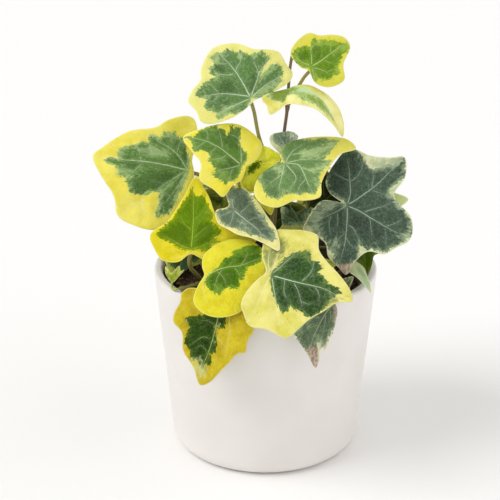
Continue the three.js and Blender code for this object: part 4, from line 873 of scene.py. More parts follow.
LOOKS = {
    "leaf_crown": Look(
        "leaf_cream_edged", edge=(244, 240, 144), edge_deep=(236, 230, 120), mid=(154, 184, 114),
        deep=(90, 128, 66), pale=(174, 198, 130), vein=(222, 236, 206)),
    "leaf_top_right": Look(
        "leaf_cream_edged", edge=(220, 214, 68), edge_deep=(208, 204, 70), mid=(144, 174, 48),
        deep=(94, 134, 16), pale=(148, 178, 70), vein=(196, 214, 140)),
    "leaf_arched": Look(
        "leaf_cream_edged", edge=(246, 242, 158), edge_deep=(212, 202, 64), mid=(186, 220, 150),
        deep=(140, 162, 52), pale=(204, 228, 168), vein=(206, 224, 172)),
    "leaf_left_broad": Look(
        "leaf_cream_edged", edge=(246, 234, 102), edge_deep=(234, 220, 64), mid=(172, 196, 120),
        deep=(88, 128, 56), pale=(160, 186, 126), vein=(214, 230, 190)),
    "leaf_upper_middle": Look(
        "leaf_cream_edged", edge=(252, 241, 100), edge_deep=(250, 236, 54), mid=(130, 164, 76),
        deep=(90, 130, 50), pale=(136, 170, 80), vein=(206, 224, 170)),
    "leaf_centre_right": Look(
        "leaf_cream_edged", edge=(238, 230, 104), edge_deep=(224, 216, 72), mid=(160, 180, 116),
        deep=(102, 138, 78), pale=(186, 208, 144), vein=(212, 228, 184)),
    "leaf_right_star": Look(
        "leaf_grey_green", edge=(232, 234, 182), edge_deep=(168, 176, 120), mid=(130, 150, 118),
        deep=(62, 82, 66), pale=(172, 186, 150), vein=(184, 204, 180)),
    "leaf_grey_arrow": Look(
        "leaf_grey_green", edge=(240, 232, 150), edge_deep=(218, 214, 126), mid=(138, 158, 120),
        deep=(92, 112, 86), pale=(162, 178, 144), vein=(190, 206, 180)),
    "leaf_bright_left": Look(
        "leaf_golden", edge=(230, 216, 26), edge_deep=(222, 206, 6), mid=(134, 154, 0),
        deep=(96, 134, 0), pale=(172, 176, 4), vein=(170, 196, 70)),
    "leaf_folded_front": Look(
        "leaf_golden", edge=(236, 228, 48), edge_deep=(216, 200, 8), mid=(116, 156, 36),
        deep=(76, 120, 6), pale=(126, 162, 52), vein=(196, 212, 130)),
    "leaf_front_large": Look(
        "leaf_cream_edged", edge=(238, 230, 130), edge_deep=(214, 208, 80), mid=(96, 126, 58),
        deep=(46, 80, 30), pale=(112, 132, 70), vein=(206, 224, 188), specks=1.0),
    "leaf_hanging_left": Look(
        "leaf_golden", edge=(210, 190, 24), edge_deep=(178, 156, 2), mid=(74, 98, 20),
        deep=(32, 64, 2), pale=(200, 208, 140), vein=(170, 196, 110), specks=0.6),
    "leaf_hanging_right": Look(
        "leaf_grey_green", edge=(238, 232, 204), edge_deep=(226, 220, 184), mid=(142, 160, 126),
        deep=(92, 112, 86), pale=(156, 178, 130), vein=(176, 190, 150)),
    "leaf_stem_small": Look(
        "leaf_grey_green", edge=(226, 230, 180), edge_deep=(202, 208, 148), mid=(164, 178, 150),
        deep=(96, 118, 92), pale=(234, 240, 220), vein=(170, 186, 160)),
    "leaf_behind_upper": Look(
        "leaf_golden", edge=(244, 244, 50), edge_deep=(188, 190, 6), mid=(94, 122, 0),
        deep=(52, 86, 0), pale=(126, 150, 2), vein=(150, 170, 50)),
    "leaf_dark_inner": Look(
        "leaf_grey_green", edge=(200, 200, 96), edge_deep=(180, 180, 80), mid=(144, 168, 138),
        deep=(64, 80, 44), pale=(176, 196, 160), vein=(130, 150, 114)),
    "leaf_edge_on": Look(
        "leaf_grey_green", edge=(206, 214, 160), edge_deep=(190, 198, 140), mid=(186, 206, 156),
        deep=(170, 198, 142), pale=(200, 218, 176), vein=(186, 200, 160)),
    # Its colours are darkened all over: painted shade, for a leaf deep in the plant's shade
    "leaf_shaded_left": Look(
        "leaf_golden", edge=(120, 122, 30), edge_deep=(100, 106, 20), mid=(92, 108, 6),
        deep=(30, 40, 0), pale=(144, 148, 14), vein=(110, 134, 60)),
    # Its colours are darkened all over: painted shade, for a leaf in the shade inside the rim
    "leaf_rim_right": Look(
        "leaf_grey_green", edge=(104, 122, 40), edge_deep=(84, 104, 16), mid=(84, 108, 8),
        deep=(62, 84, 2), pale=(110, 128, 50), vein=(110, 134, 40), keep=0.97),
    "leaf_lime_centre": Look(
        "leaf_golden", edge=(216, 208, 30), edge_deep=(188, 182, 14), mid=(146, 164, 20),
        deep=(120, 142, 10), pale=(170, 180, 40), vein=(190, 204, 70), keep=0.5),
    "leaf_lime_inner": Look(
        "leaf_golden", edge=(220, 222, 90), edge_deep=(196, 200, 60), mid=(164, 186, 40),
        deep=(140, 168, 30), pale=(190, 204, 80), vein=(206, 220, 110), keep=0.75),
    # Its own blue-green with a yellow rim, made darker: partly painted shade, where it lies in shade behind
    # the sprout
    "leaf_behind_bright": Look(
        "leaf_cream_edged", edge=(176, 180, 74), edge_deep=(136, 146, 50), mid=(84, 108, 68),
        deep=(58, 84, 56), pale=(104, 128, 80), vein=(120, 142, 90), keep=0.95),
    "leaf_right_peek": Look(
        "leaf_cream_edged", edge=(226, 238, 160), edge_deep=(196, 208, 128), mid=(176, 194, 116),
        deep=(154, 176, 92), pale=(200, 214, 150), vein=(216, 228, 170), keep=0.62),
    "leaf_small_front_right": Look(
        "leaf_grey_green", edge=(128, 134, 92), edge_deep=(104, 112, 70), mid=(96, 108, 66),
        deep=(76, 90, 44), pale=(124, 134, 90), vein=(140, 152, 110), keep=0.95),
    "leaf_sprout": Look(
        "leaf_golden", edge=(206, 212, 78), edge_deep=(182, 192, 50), mid=(144, 166, 34),
        deep=(118, 144, 16), pale=(170, 188, 70), vein=(176, 190, 84), keep=0.7),
    # These two inner leaves are nearly black all over: painted shade, for the deep shade among the leaves
    "leaf_inner_left": Look(
        "leaf_grey_green", edge=(112, 114, 44), edge_deep=(84, 90, 24), mid=(62, 76, 28),
        deep=(44, 56, 14), pale=(84, 96, 40), vein=(96, 110, 60), keep=0.85),
    # Nearly black all over, as the one above: painted shade
    "leaf_inner_right": Look(
        "leaf_grey_green", edge=(112, 110, 34), edge_deep=(80, 82, 20), mid=(54, 64, 20),
        deep=(30, 38, 8), pale=(76, 86, 34), vein=(90, 100, 50), keep=0.85),
}

# Shader maths in Python expressions


class Value:
    """A socket that takes Python's operators: each one adds its Math node."""

    def __init__(self, finish, socket):
        self.finish = finish
        self.socket = socket

    def _math(self, operation, first, second):
        return self.finish.node("ShaderNodeMath", {"operation": operation}, {0: first, 1: second})

    def __add__(self, other):
        return self._math("ADD", self, other)

    __radd__ = __add__

    def __sub__(self, other):
        return self._math("SUBTRACT", self, other)

    def __rsub__(self, other):
        return self._math("SUBTRACT", other, self)

    def __mul__(self, other):
        return self._math("MULTIPLY", self, other)

    __rmul__ = __mul__


SURFACE_INPUTS = dict(colour="Base Color", roughness="Roughness", normal="Normal",
                      shine="Specular IOR Level")


class Finish:
    """A material with one Principled shader, fed by expressions on values."""

    def __init__(self, name, **constants):
        self.material = bpy.data.materials.new(name)
        self.material.use_nodes = True
        self.tree = self.material.node_tree
        self.tree.nodes.clear()
        self.surface = self.tree.nodes.new("ShaderNodeBsdfPrincipled")
        output = self.tree.nodes.new("ShaderNodeOutputMaterial")
        self.tree.links.new(self.surface.outputs[0], output.inputs["Surface"])
        self.set(**constants)

    def set(self, **sockets):
        for words, value in sockets.items():
            self.feed(self.surface.inputs[SURFACE_INPUTS[words]], value)

    def feed(self, socket, value):
        if isinstance(value, Value):
            self.tree.links.new(value.socket, socket)
        else:
            socket.default_value = value

    def node(self, kind, settings=None, sockets=None, output=0):
        """Adds a node: its settings first, then the values or links of its sockets."""
        made = self.tree.nodes.new(kind)
        for words, value in (settings or {}).items():
            setattr(made, words, value)
        for key, value in (sockets or {}).items():
            self.feed(made.inputs[key], value)
        return Value(self, made.outputs[output])

    def place(self):
        return self.node("ShaderNodeTexCoord", output="Object")

    def height(self, place):
        return self.node("ShaderNodeSeparateXYZ", {}, {0: place}, output="Z")

    def marked(self, name, output="Fac"):
        return self.node("ShaderNodeAttribute", {"attribute_name": name}, output=output)

    def noise(self, place, size, detail=2.0, roughness=0.5):
        """Noise about 0.5, whose blotches are about size across, in the units of the place."""
        sockets = {"Vector": place, "Scale": 1 / size, "Detail": detail, "Roughness": roughness}
        return self.node("ShaderNodeTexNoise", {}, sockets)

    def scattered(self, place, size, feature):
        return self.node("ShaderNodeTexVoronoi", {"feature": feature}, {"Vector": place, "Scale": 1 / size})

    def cells(self, place, size):
        """The distance to the nearest border of a net of cells, as a share of their size."""
        return self.scattered(place, size, "DISTANCE_TO_EDGE")

    def dots(self, place, size):
        """The distance to the nearest of scattered dots, as a share of the space between them."""
        return self.scattered(place, size, "F1")

    def rise(self, value, low, high, first=0.0, last=1.0):
        """Goes smoothly from first at low to last at high."""
        settings = {"interpolation_type": "SMOOTHSTEP"}
        return self.node("ShaderNodeMapRange", settings, {0: value, 1: low, 2: high, 3: first, 4: last})

    def mix(self, first, second, share):
        """Two colours, each an sRGB triple or a value."""
        first, second = (c if isinstance(c, Value) else linear(c) for c in (first, second))
        return self.node("ShaderNodeMix", {"data_type": "RGBA"}, {0: share, 6: first, 7: second}, output=2)

    def bump(self, height, distance, strength):
        sockets = {"Height": height, "Distance": distance, "Strength": strength}
        return self.node("ShaderNodeBump", {}, sockets)


def linear(colour):
    """An sRGB triple of 0 to 255 as Blender's linear colour, by the standard curve."""
    shares = [part / 255 for part in colour]
    return (*(s / 12.92 if s <= 0.04045 else ((s + 0.055) / 1.055) ** 2.4 for s in shares), 1.0)


def lighter(colour):
    """A good part of the way to white."""
    return tuple(part + (255 - part) * 0.42 for part in colour)


def darker(colour):
    """A little of the way to black."""
    return tuple(part * 0.8 for part in colour)


# Lines and curves


def polar(pairs):
    """Flat places from pairs of degrees and reach."""
    turns = np.radians([turn for turn, _ in pairs])
    reaches = np.array([reach for _, reach in pairs], float)
    return np.stack([reaches * np.cos(turns), reaches * np.sin(turns)], axis=1)


def arc(centre, size, first, last, steps):
    turns = np.radians(np.linspace(first, last, steps + 1))
    return [(centre[0] + size * math.cos(turn), centre[1] + size * math.sin(turn)) for turn in turns]


def smooth_through(points, closed=False, steps=8):
    """A centripetal Catmull-Rom curve through the points, with so many steps to each stretch."""
    spots = np.asarray(points, float)
    if closed:
        spots = np.vstack([spots[-1:], spots, spots[:2]])
    else:
        spots = np.vstack([2 * spots[0] - spots[1], spots, 2 * spots[-1] - spots[-2]])
    share = np.linspace(0, 1, steps, endpoint=False)[:, None]
    made = []
    for a, b, c, d in zip(spots, spots[1:], spots[2:], spots[3:]):
        pairs = ((a, b), (b, c), (c, d))
        before, here, after = (max(np.linalg.norm(q - p) ** 0.5, MERGE) for p, q in pairs)
        leave = ((b - a) / before - (c - a) / (before + here) + (c - b) / here) * here
        arrive = ((c - b) / here - (d - b) / (here + after) + (d - c) / after) * here
        squared = 3 * (c - b) - 2 * leave - arrive
        cubed = 2 * (b - c) + leave + arrive
        made.append(b + leave * share + squared * share**2 + cubed * share**3)
    if not closed:
        made.append(spots[-2:-1])
    return np.vstack(made)


def evenly(line, count, closed=False):
    """The same line with count points at even distances."""
    track = np.vstack([line, line[:1]]) if closed else line
    run = np.concatenate([[0], np.cumsum(np.linalg.norm(np.diff(track, axis=0), axis=1))])
    wanted = np.linspace(0, run[-1], count, endpoint=not closed)
    return np.stack([np.interp(wanted, run, track[:, k]) for k in range(track.shape[1])], axis=1)


def length_of(line):
    return float(np.linalg.norm(np.diff(line, axis=0), axis=1).sum())


def directions(line):
    ahead = np.gradient(line, axis=0)
    return ahead / np.maximum(np.linalg.norm(ahead, axis=1), TINY)[:, None]


def unit(vector):
    return vector / np.linalg.norm(vector)


def rotation(turn):
    return np.array([[math.cos(turn), -math.sin(turn)], [math.sin(turn), math.cos(turn)]])


def distance_to(spots, lines):
    """Each flat spot's distance to the nearest of the lines."""
    starts = np.vstack([line[:-1] for line in lines])
    aheads = np.vstack([np.diff(line, axis=0) for line in lines])
    squares = np.maximum((aheads**2).sum(axis=1), TINY)
    best = np.full(len(spots), FAR)
    for first in range(0, len(starts), SEGMENTS_AT_ONCE):
        some = slice(first, first + SEGMENTS_AT_ONCE)
        x = spots[:, :1] - starts[some, 0]
        y = spots[:, 1:] - starts[some, 1]
        share = np.clip((x * aheads[some, 0] + y * aheads[some, 1]) / squares[some], 0, 1)
        x -= share * aheads[some, 0]
        y -= share * aheads[some, 1]
        best = np.minimum(best, np.sqrt((x * x + y * y).min(axis=1)))
    return best


def within(spots, ring):
    """Which flat spots lie inside the closed ring."""
    odd = np.zeros(len(spots), bool)
    x, y = spots.T
    for a, b in zip(ring, np.roll(ring, -1, axis=0)):
        rise = b[1] - a[1]
        level = a[0] + (y - a[1]) * (b[0] - a[0]) / (rise if abs(rise) > TINY else TINY)
        odd ^= ((a[1] > y) != (b[1] > y)) & (x < level)
    return odd


def depth_in(spots, rings):
    """How far each flat spot is inside the nearest of the rings, or less than 0 outside them."""
    best = np.full(len(spots), -FAR)
    for ring in rings:
        away = distance_to(spots, [np.vstack([ring, ring[:1]])])
        best = np.maximum(best, np.where(within(spots, ring), away, -away))
    return best


# Meshes


def finished(name, mesh, material, slot, *nodes, smooth=True):
    """A piece with its finish, which rides with the plant and stands for its solids."""
    piece = bpy.data.objects.new(name, mesh)
    bpy.context.scene.collection.objects.link(piece)
    mesh.materials.append(material)
    mesh.polygons.foreach_set("use_smooth", [smooth] * len(mesh.polygons))
    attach(piece, "root")
    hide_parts(*nodes)


def mesh_of(bm, name):
    mesh = bpy.data.meshes.new(name)
    bm.to_mesh(mesh)
    bm.free()
    return mesh


def join(bm, other):
    """Adds the shapes of another bmesh, which is used up."""
    passed = mesh_of(other, "passed")
    bm.from_mesh(passed)
    bpy.data.meshes.remove(passed)


def spots_of(mesh):
    spots = np.empty(len(mesh.vertices) * 3, np.float32)
    mesh.vertices.foreach_get("co", spots)
    return spots.reshape(-1, 3).astype(float)


def move_spots(mesh, spots):
    """Moves the vertices to places in millimetres."""
    mesh.vertices.foreach_set("co", np.ascontiguousarray(spots * MM, np.float32).ravel())
    mesh.update()


def mesh_in_metres(bm, name):
    """The mesh of a bmesh that was made in millimetres."""
    mesh = mesh_of(bm, name)
    move_spots(mesh, spots_of(mesh))
    return mesh


def mark(mesh, name, values):
    """Numbers or vectors on the vertices, which a finish reads by their name."""
    kind, field = ("FLOAT_VECTOR", "vector") if values.ndim == 2 else ("FLOAT", "value")
    attribute = mesh.attributes.new(name, kind, "POINT")
    attribute.data.foreach_set(field, np.ascontiguousarray(values, np.float32).ravel())


def wrapped_grid(bm, around, steps, spot_at):
    """A grid whose first side closes on itself. spot_at gives a place from the two counts."""
    made = bmesh.ops.create_grid(bm, x_segments=around, y_segments=steps, size=1.0)["verts"]
    for v in made:
        v.co = spot_at(round((v.co.x + 1) / 2 * around) % around, round((v.co.y + 1) / 2 * steps))
    return made


def tube(bm, line, radii):
    """A closed round tube along a line in space, in millimetres."""
    ahead = directions(line)
    across = np.cross(ahead[0], TUBE_SIDE)
    sideways = []
    for direction in ahead:
        across = across - across @ direction * direction
        across = across / np.linalg.norm(across)
        sideways.append(across)
    upward = np.cross(ahead, sideways)
    rounding = np.ones(len(line))
    rounding[[0, -1]] = 0.0
    rounding[[1, -2]] = 0.8

    def spot_at(side, step):
        turn = FULL_TURN * side / STEM_SIDES
        out = math.cos(turn) * sideways[step] + math.sin(turn) * upward[step]
        return Vector(line[step] + out * radii[step] * rounding[step])

    made = wrapped_grid(bm, STEM_SIDES, len(line) - 1, spot_at)
    bmesh.ops.remove_doubles(bm, verts=made, dist=MERGE)


def spun(profile):
    """A profile of (radius, height) in millimetres, spun round the upright axis."""
    bm = bmesh.new()
    spots = [bm.verts.new((radius, 0, height)) for radius, height in profile]
    edges = [bm.edges.new(pair) for pair in zip(spots, spots[1:])]
    bmesh.ops.spin(bm, geom=spots + edges, axis=(0, 0, 1), cent=(0, 0, 0), angle=FULL_TURN,
                   steps=SPIN_STEPS, use_merge=True)
    bmesh.ops.remove_doubles(bm, verts=bm.verts[:], dist=MERGE)
    bmesh.ops.recalc_face_normals(bm, faces=bm.faces[:])
    return bm


# Leaf blades


def bent_over(along, height, amount):
    """A turn of the plane of along and height about a line at distance 1 / amount below it."""
    if abs(amount) < STRAIGHT:
        return along, height
    radius = 1 / amount + height
    return np.sin(along * amount) * radius, np.cos(along * amount) * radius - 1 / amount


def bent(flat, curl=0.0, rear=None, roll=0.0, wave=0.0):
    """Where spots of the flat blade lie once it has its curl, roll and waves."""
    x, y, height = flat.T
    ripple = wave * (x**2 + y**2) * np.sin(WAVES * np.arctan2(y, x))
    side, rolled = bent_over(y, ripple + height, roll)
    ahead, lifted = bent_over(x, rolled, curl)
    if rear is not None:
        behind, lowered = bent_over(x, rolled, rear)
        ahead = np.where(x < 0, behind, ahead)
        lifted = np.where(x < 0, lowered, lifted)
    return np.stack([ahead, side, lifted], axis=1)


class Placing:
    """A leaf's axes, and the way from its flat blade to its place, in millimetres."""

    def __init__(self, leaf):
        self.base = np.array(leaf["base"], float)
        self.bend = leaf["bend"]
        span = np.array(leaf["tip"], float) - self.base
        along = unit(span)
        face = np.array(leaf["face"], float)
        up = unit(face - face @ along * along)
        end = bent(np.array([[1.0, 0.0, 0.0]]), **self.bend)[0]
        forward = unit(end)
        lift = unit(np.array([0, 0, 1.0]) - forward[2] * forward)
        self.scale = np.linalg.norm(span) / np.linalg.norm(end)
        self.turn = (np.outer(along, forward) + np.outer(np.cross(up, along), np.cross(lift, forward))
                     + np.outer(up, lift))

    def at(self, flat):
        return self.base + bent(np.atleast_2d(flat), **self.bend) @ self.turn.T * self.scale

    def up(self):
        """The way out of the upper face where the petiole ends."""
        step = 0.01
        ahead = self.at((step, 0, 0)) - self.at((-step, 0, 0))
        aside = self.at((0, step, 0)) - self.at((0, -step, 0))
        return unit(np.cross(ahead, aside)[0])


def lobe_veins(edge):
    """A vein from the petiole to each lobe of an edge."""
    veins = []
    for before, (turn, reach), after in zip(edge[-1:] + edge, edge, edge[1:] + edge[:1]):
        if reach > LOBE_REACH and reach >= before[1] and reach >= after[1]:
            veins.append([(turn, 0.03), (turn + 4, reach * 0.5), (turn, reach * 0.94)])
    return veins


def uneven_green(edge, keep, rng):
    """Green whose reach is about a share of the edge's, unevenly."""
    green = []
    for turn, reach in edge:
        green.append((turn, reach * keep * rng.uniform(0.8, 1.12)))
        green.append((turn + rng.uniform(3, 8), reach * keep * rng.uniform(0.8, 1.08)))
    return sorted(green)


def side_veins(mains, rim, scale, rng):
    """Short veins that leave the main ones on alternate sides and stay within the rim."""
    made = []
    for main in mains:
        length = length_of(main) * scale
        if length < BRANCHED_LENGTH:
            continue
        spots = evenly(main, max(4, round(length / SIDE_VEIN_SPACING)))
        side = rng.choice((-1, 1))
        for spot, way in list(zip(spots, directions(spots)))[1:-1]:
            side = -side
            turn = side * math.radians(rng.uniform(*SIDE_VEIN_ANGLES))
            reach = rng.uniform(*SIDE_VEIN_LENGTHS) / scale
            middle = spot + way @ rotation(turn).T * reach * 0.5
            end = middle + way @ rotation(turn * 0.8).T * reach * 0.5
            free = distance_to(np.array([middle, end]), mains + made).min() * scale
            to_rim = depth_in(np.array([middle, end]), [rim]).min() * scale
            if free > VEIN_CLEARANCE and to_rim > RIM_CLEARANCE:
                made.append(np.array([spot, middle, end]))
    return made


def half_thickness(to_rim):
    """Half the blade's thickness, which thins to a fine edge, in millimetres."""
    return SHEET / 2 * (SHEET_EDGE + (1 - SHEET_EDGE) * np.clip(to_rim / EDGE_TAPER, 0, 1) ** 0.5)


def ridge(bm, line, scale, rim, width, proud, strength):
    """A vein as a closed, tapered ridge that stands out of both faces of the flat blade."""
    count = max(4, round(length_of(line) * scale / RIDGE_STEP))
    line = evenly(line, count + 1)
    ahead = directions(line)
    across = np.stack([-ahead[:, 1], ahead[:, 0]], axis=1)
    share = np.linspace(0, 1, count + 1)
    ends = np.clip(np.minimum(share, 1 - share) * count / 1.5, 0, 1) ** 0.5
    widths = width * (1 - 0.6 * share) * ends / scale
    heights = (half_thickness(depth_in(line, [rim]) * scale) + proud * (1 - 0.5 * share)) * ends / scale

    def spot_at(side, step):
        turn = FULL_TURN * side / RIDGE_SIDES
        spot = line[step] + across[step] * math.cos(turn) * widths[step] / 2
        return Vector((*spot, math.sin(turn) * heights[step]))

    layer = bm.verts.layers.float["vein"]
    for v in wrapped_grid(bm, RIDGE_SIDES, count, spot_at):
        v[layer] = strength


def vein_ridges(mains, sides, scale, rim):
    """All veins of a blade, the longest of the main ones the broadest and the strongest in colour."""
    bm = bmesh.new()
    bm.verts.layers.float.new("vein")
    longest = max(length_of(main) for main in mains)
    for main in mains:
        share = length_of(main) / longest
        ridge(bm, main, scale, rim, VEIN_WIDTH + MIDRIB_GAIN * share, VEIN_PROUD, 0.6 + 0.4 * share)
    for line in sides:
        ridge(bm, line, scale, rim, SIDE_VEIN_WIDTH, VEIN_PROUD * 0.5, 0.34)
    bmesh.ops.remove_doubles(bm, verts=bm.verts[:], dist=FLAT_MERGE)
    return bm


def flat_blade(rim, rings):
    """Both faces of a flat blade: a grid wrapped into a fan from the petiole to the rim."""
    bm = bmesh.new()
    bm.verts.layers.float.new("vein")

    def spot_at(column, ring):
        return Vector((*(rim[column] * (ring / rings) ** 0.9), 0))

    wrapped_grid(bm, len(rim), rings, spot_at)
    bmesh.ops.remove_doubles(bm, verts=bm.verts[:], dist=FLAT_MERGE)
    bmesh.ops.reverse_faces(bm, faces=bm.faces[:])
    bmesh.ops.solidify(bm, geom=bm.faces[:], thickness=FACES_APART)
    return bm


def faces_of(heights, is_vein, to_rim, scale):
    """Each spot's height in a blade of the right thickness, in millimetres, and which are underneath."""
    sheet = heights[~is_vein]
    middle = np.where(is_vein, 0, (sheet.min() + sheet.max()) / 2)
    under = heights < middle
    thick = np.where(under, -1, 1) * half_thickness(to_rim)
    return np.where(is_vein, heights * scale, thick), under


def creases(to_main, to_side, scale):
    """How deep the blade dips along its veins, more so in a larger leaf."""
    breadth = 1.6 + scale / 28
    deep = CREASE * (0.6 + scale / 60) * np.exp(-((to_main / breadth) ** 2))
    return deep + 0.22 * np.exp(-((to_side / 1.4) ** 2))


def swells(x, y, rng):
    """The gentle unevenness of a blade: short waves and long ones."""
    starts = [rng.uniform(0, 6.3) for _ in range(4)]
    short = 0.35 * np.sin(x / 3.1 + starts[0]) * np.sin(y / 3.7 + starts[1])
    long = 0.45 * np.sin(x / 7.3 + starts[2]) * np.sin(y / 6.1 + starts[3])
    return short + long


def streak_places(x, y, seed):
    """Places for noise that is drawn out from the petiole to the rim and differs from leaf to leaf."""
    drawn_out = np.maximum(np.hypot(x, y), 0.001) ** 0.6
    return np.stack([x / drawn_out, y / drawn_out, np.full(len(x), 1.7 * seed)], axis=1)


def leaf_blade(name, leaf, keep, seed):
    """One leaf's blade, with its veins, bent into place and marked with what its colours follow."""
    rng = random.Random(seed)
    place = Placing(leaf)
    scale = place.scale
    marks = MARKINGS.get(name) or dict(green=uneven_green(leaf["edge"], keep, rng))
    columns, rings = FINE_GRID if name in MARKINGS and not leaf.get("small") else PLAIN_GRID
    rim = evenly(smooth_through(polar(leaf["edge"]), closed=True), columns, closed=True)
    veins = marks.get("veins") or lobe_veins(leaf["edge"])
    mains = [smooth_through(polar(vein), steps=5) for vein in veins]
    sides = side_veins(mains, rim, scale, rng)
    bm = flat_blade(rim, rings)
    join(bm, vein_ridges(mains, sides, scale, rim))
    mesh = mesh_of(bm, "fine_" + name)

    flat = spots_of(mesh)
    vein = np.empty(len(flat), np.float32)
    mesh.attributes["vein"].data.foreach_get("value", vein)
    plan = flat[:, :2]
    x, y = plan.T * scale
    to_rim = np.maximum(depth_in(plan, [rim]), 0) * scale
    to_main = distance_to(plan, mains) * scale
    to_side = distance_to(plan, sides) * scale if sides else to_main
    height, under = faces_of(flat[:, 2], vein > 0, to_rim, scale)
    height += (swells(x, y, rng) - creases(to_main, to_side, scale)) * np.clip(to_rim / FADE, 0, 1)
    flat[:, 2] = height / scale
    move_spots(mesh, place.at(flat))

    rings_of = {"green": [marks["green"]], **{kind: marks.get(kind, []) for kind in PATCHES}}
    for kind, borders in rings_of.items():
        inside = depth_in(plan, [polar(border) for border in borders]) * scale
        mark(mesh, kind, np.clip(inside, -FAR_INSIDE, FAR_INSIDE))
    mark(mesh, "flow", streak_places(x, y, seed))
    mark(mesh, "furrow", np.exp(-((np.minimum(to_main, to_side + 0.5) / 0.9) ** 2)))
    mark(mesh, "rim", np.clip(to_rim, 0, FAR_INSIDE))
    mark(mesh, "under", under)
    return mesh


class LeafSkin(Finish):
    """A waxy variegated blade: a green with ragged borders and a net of pale veins in a yellow edge."""

    def __init__(self, name, look):
        super().__init__(name + "_skin", shine=0.1)
        self.look = look

        # Noise that is drawn out from the petiole to the rim, and noise in space
        flow = self.marked("flow", "Vector")
        tufts = self.noise(flow, 0.5, 2.0, 0.6) - 0.5
        teeth = self.noise(flow, 0.17, 3.0, 0.7) - 0.5
        bands = self.noise(flow, 0.22, 2.0, 0.55)
        self.streaks = self.noise(flow, 0.12, 4.0, 0.7)
        place = self.place()
        self.mottle = self.noise(place, 1.3 * MM, 4.0, 0.65)
        self.cloud = self.noise(place, 5.5 * MM, 3.0, 0.6)
        self.broad = self.noise(place, 16 * MM, 2.0, 0.5)
        net = self.cells(place, 2.4 * MM)
        self.net_lines = self.rise(net, 0.0, 0.07, 1.0, 0.0)

        # Distances into the marked patches, made uneven, and how strongly each patch shows
        self.ridges = self.marked("vein")
        self.furrow = self.marked("furrow")
        self.border = self.marked("green") + tufts * 3.0 + teeth * 5.0
        self.ragged = (self.streaks - 0.5) * 7.0
        wisps = (bands - 0.5) * 8.0 + (self.streaks - 0.5) * 6.0
        self.bands = self.rise(bands, 0.22, 0.44)
        self.pale = self.rise(self.marked("pale") + tufts * 3.0 + wisps, -1.8, 2.8)
        # The dark patches: partly the leaf's own deeper green, partly painted shade from leaves and folds
        # over it
        self.dark = self.rise(self.marked("dark") + tufts * 3.0 + self.ragged, -1.0, 1.2)
        self.dry = self.rise(self.marked("dry") + tufts * 3.0, -0.6, 0.9)

        relief = self.mottle * 0.5 + self.rise(net, 0.0, 0.22) * 0.5
        self.set(colour=self.colour(), roughness=self.rise(self.mottle, 0.3, 0.7, 0.4, 0.54),
                 normal=self.bump(relief, 0.16 * MM, 0.6))

    def green(self):
        """The green: deeper further in, with darker patches that are partly painted shade, paler patches,
        streaks and fine veins.
        """
        look = self.look
        grain = self.streaks * 0.5 + self.mottle * 0.5
        inner = self.rise(self.border + (self.cloud - 0.5) * 12.0 + self.ragged, -0.4, 2.4)
        green = self.mix(look.mid, look.deep, inner * self.rise(grain, 0.36, 0.54, 0.6, 1.0))
        stains = self.rise(self.streaks * 0.6 + self.cloud * 0.4, 0.44, 0.6)
        # Darkens the green in the marked dark patches, which are partly painted shade, and in random stains
        green = self.mix(green, darker(look.deep), self.rise(self.dark + stains * 0.6, 0.0, 1.4) * 0.75)
        feather = self.rise(self.cloud + (self.streaks - 0.5) * 0.5, 0.56, 0.66)
        feather = feather * self.rise(self.border, 3.0, 0.6)
        paler = self.rise(feather * 0.6 + self.pale * 0.8, 0.0, 1.0)
        green = self.mix(green, look.pale, paler * self.rise(grain, 0.36, 0.56, 0.45, 1.0))
        return self.mix(green, look.vein, self.net_lines * 0.1 + self.furrow * 0.1)

    def edge(self):
        """The edge's yellow or cream: clouded, streaked, paler at the rim, and specked on some leaves."""
        look = self.look
        light = lighter(look.edge)
        deeper = self.rise(self.cloud * 0.4 + self.broad * 0.6, 0.4, 0.62)
        edge = self.mix(look.edge, look.edge_deep, deeper * 0.9)
        edge = self.mix(edge, light, self.rise(self.streaks, 0.5, 0.68) * 0.35)
        edge = self.mix(edge, look.pale, self.pale * self.bands * 0.8)
        greenish = self.rise(self.border, -1.6, -0.1) * self.rise(self.cloud, 0.5, 0.62)
        edge = self.mix(edge, look.mid, greenish * 0.35)
        edge = self.mix(edge, light, self.net_lines * 0.15 + self.rise(self.marked("rim"), 0.75, 0.2) * 0.6)
        if look.specks:
            dots = self.rise(self.dots(self.place(), 3.5 * MM), 0.05, 0.1, 1.0, 0.0)
            edge = self.mix(edge, SPECK, dots * 0.65 * look.specks)
        return edge

    def colour(self):
        """Green and edge, with the raised veins, withered spots and the duller underside."""
        is_green = self.rise(self.border, -0.1, 0.14)
        colour = self.mix(self.edge(), self.green(), is_green)
        in_green = self.mix(colour, self.look.vein, self.ridges * 0.88)
        on_edge = self.rise(self.ridges * 0.8 + self.furrow * 0.3, 0.0, 1.0)
        in_edge = self.mix(colour, lighter(self.look.edge), on_edge)
        colour = self.mix(in_edge, in_green, is_green)
        withered = self.mix(DRY_PALE, DRY_DEEP, self.rise(self.streaks, 0.4, 0.6))
        colour = self.mix(colour, withered, self.dry * 0.85)
        return self.mix(colour, self.mix(colour, UNDERSIDE, 0.45), self.marked("under"))


def make_leaves():
    for seed, (name, leaf) in enumerate(LEAVES.items()):
        look = LOOKS.get(name, FAR_SIDE_LOOK)
        mesh = leaf_blade(name, leaf, look.keep, seed)
        finished("fine_" + name, mesh, LeafSkin(name, look).material, look.finish, name)


# Stems and petioles


def vine_line(vine):
    """From the bottom of the vine's hole in the bark, straight up out of it, and on to the tip."""
    x, y = vine["root"]
    spots = [(x, y, SOIL_LEVEL - ROOT_DEPTH), (x, y, SOIL_LEVEL + SOIL_MOUND), *vine["path"]]
    return smooth_through(spots, steps=16)


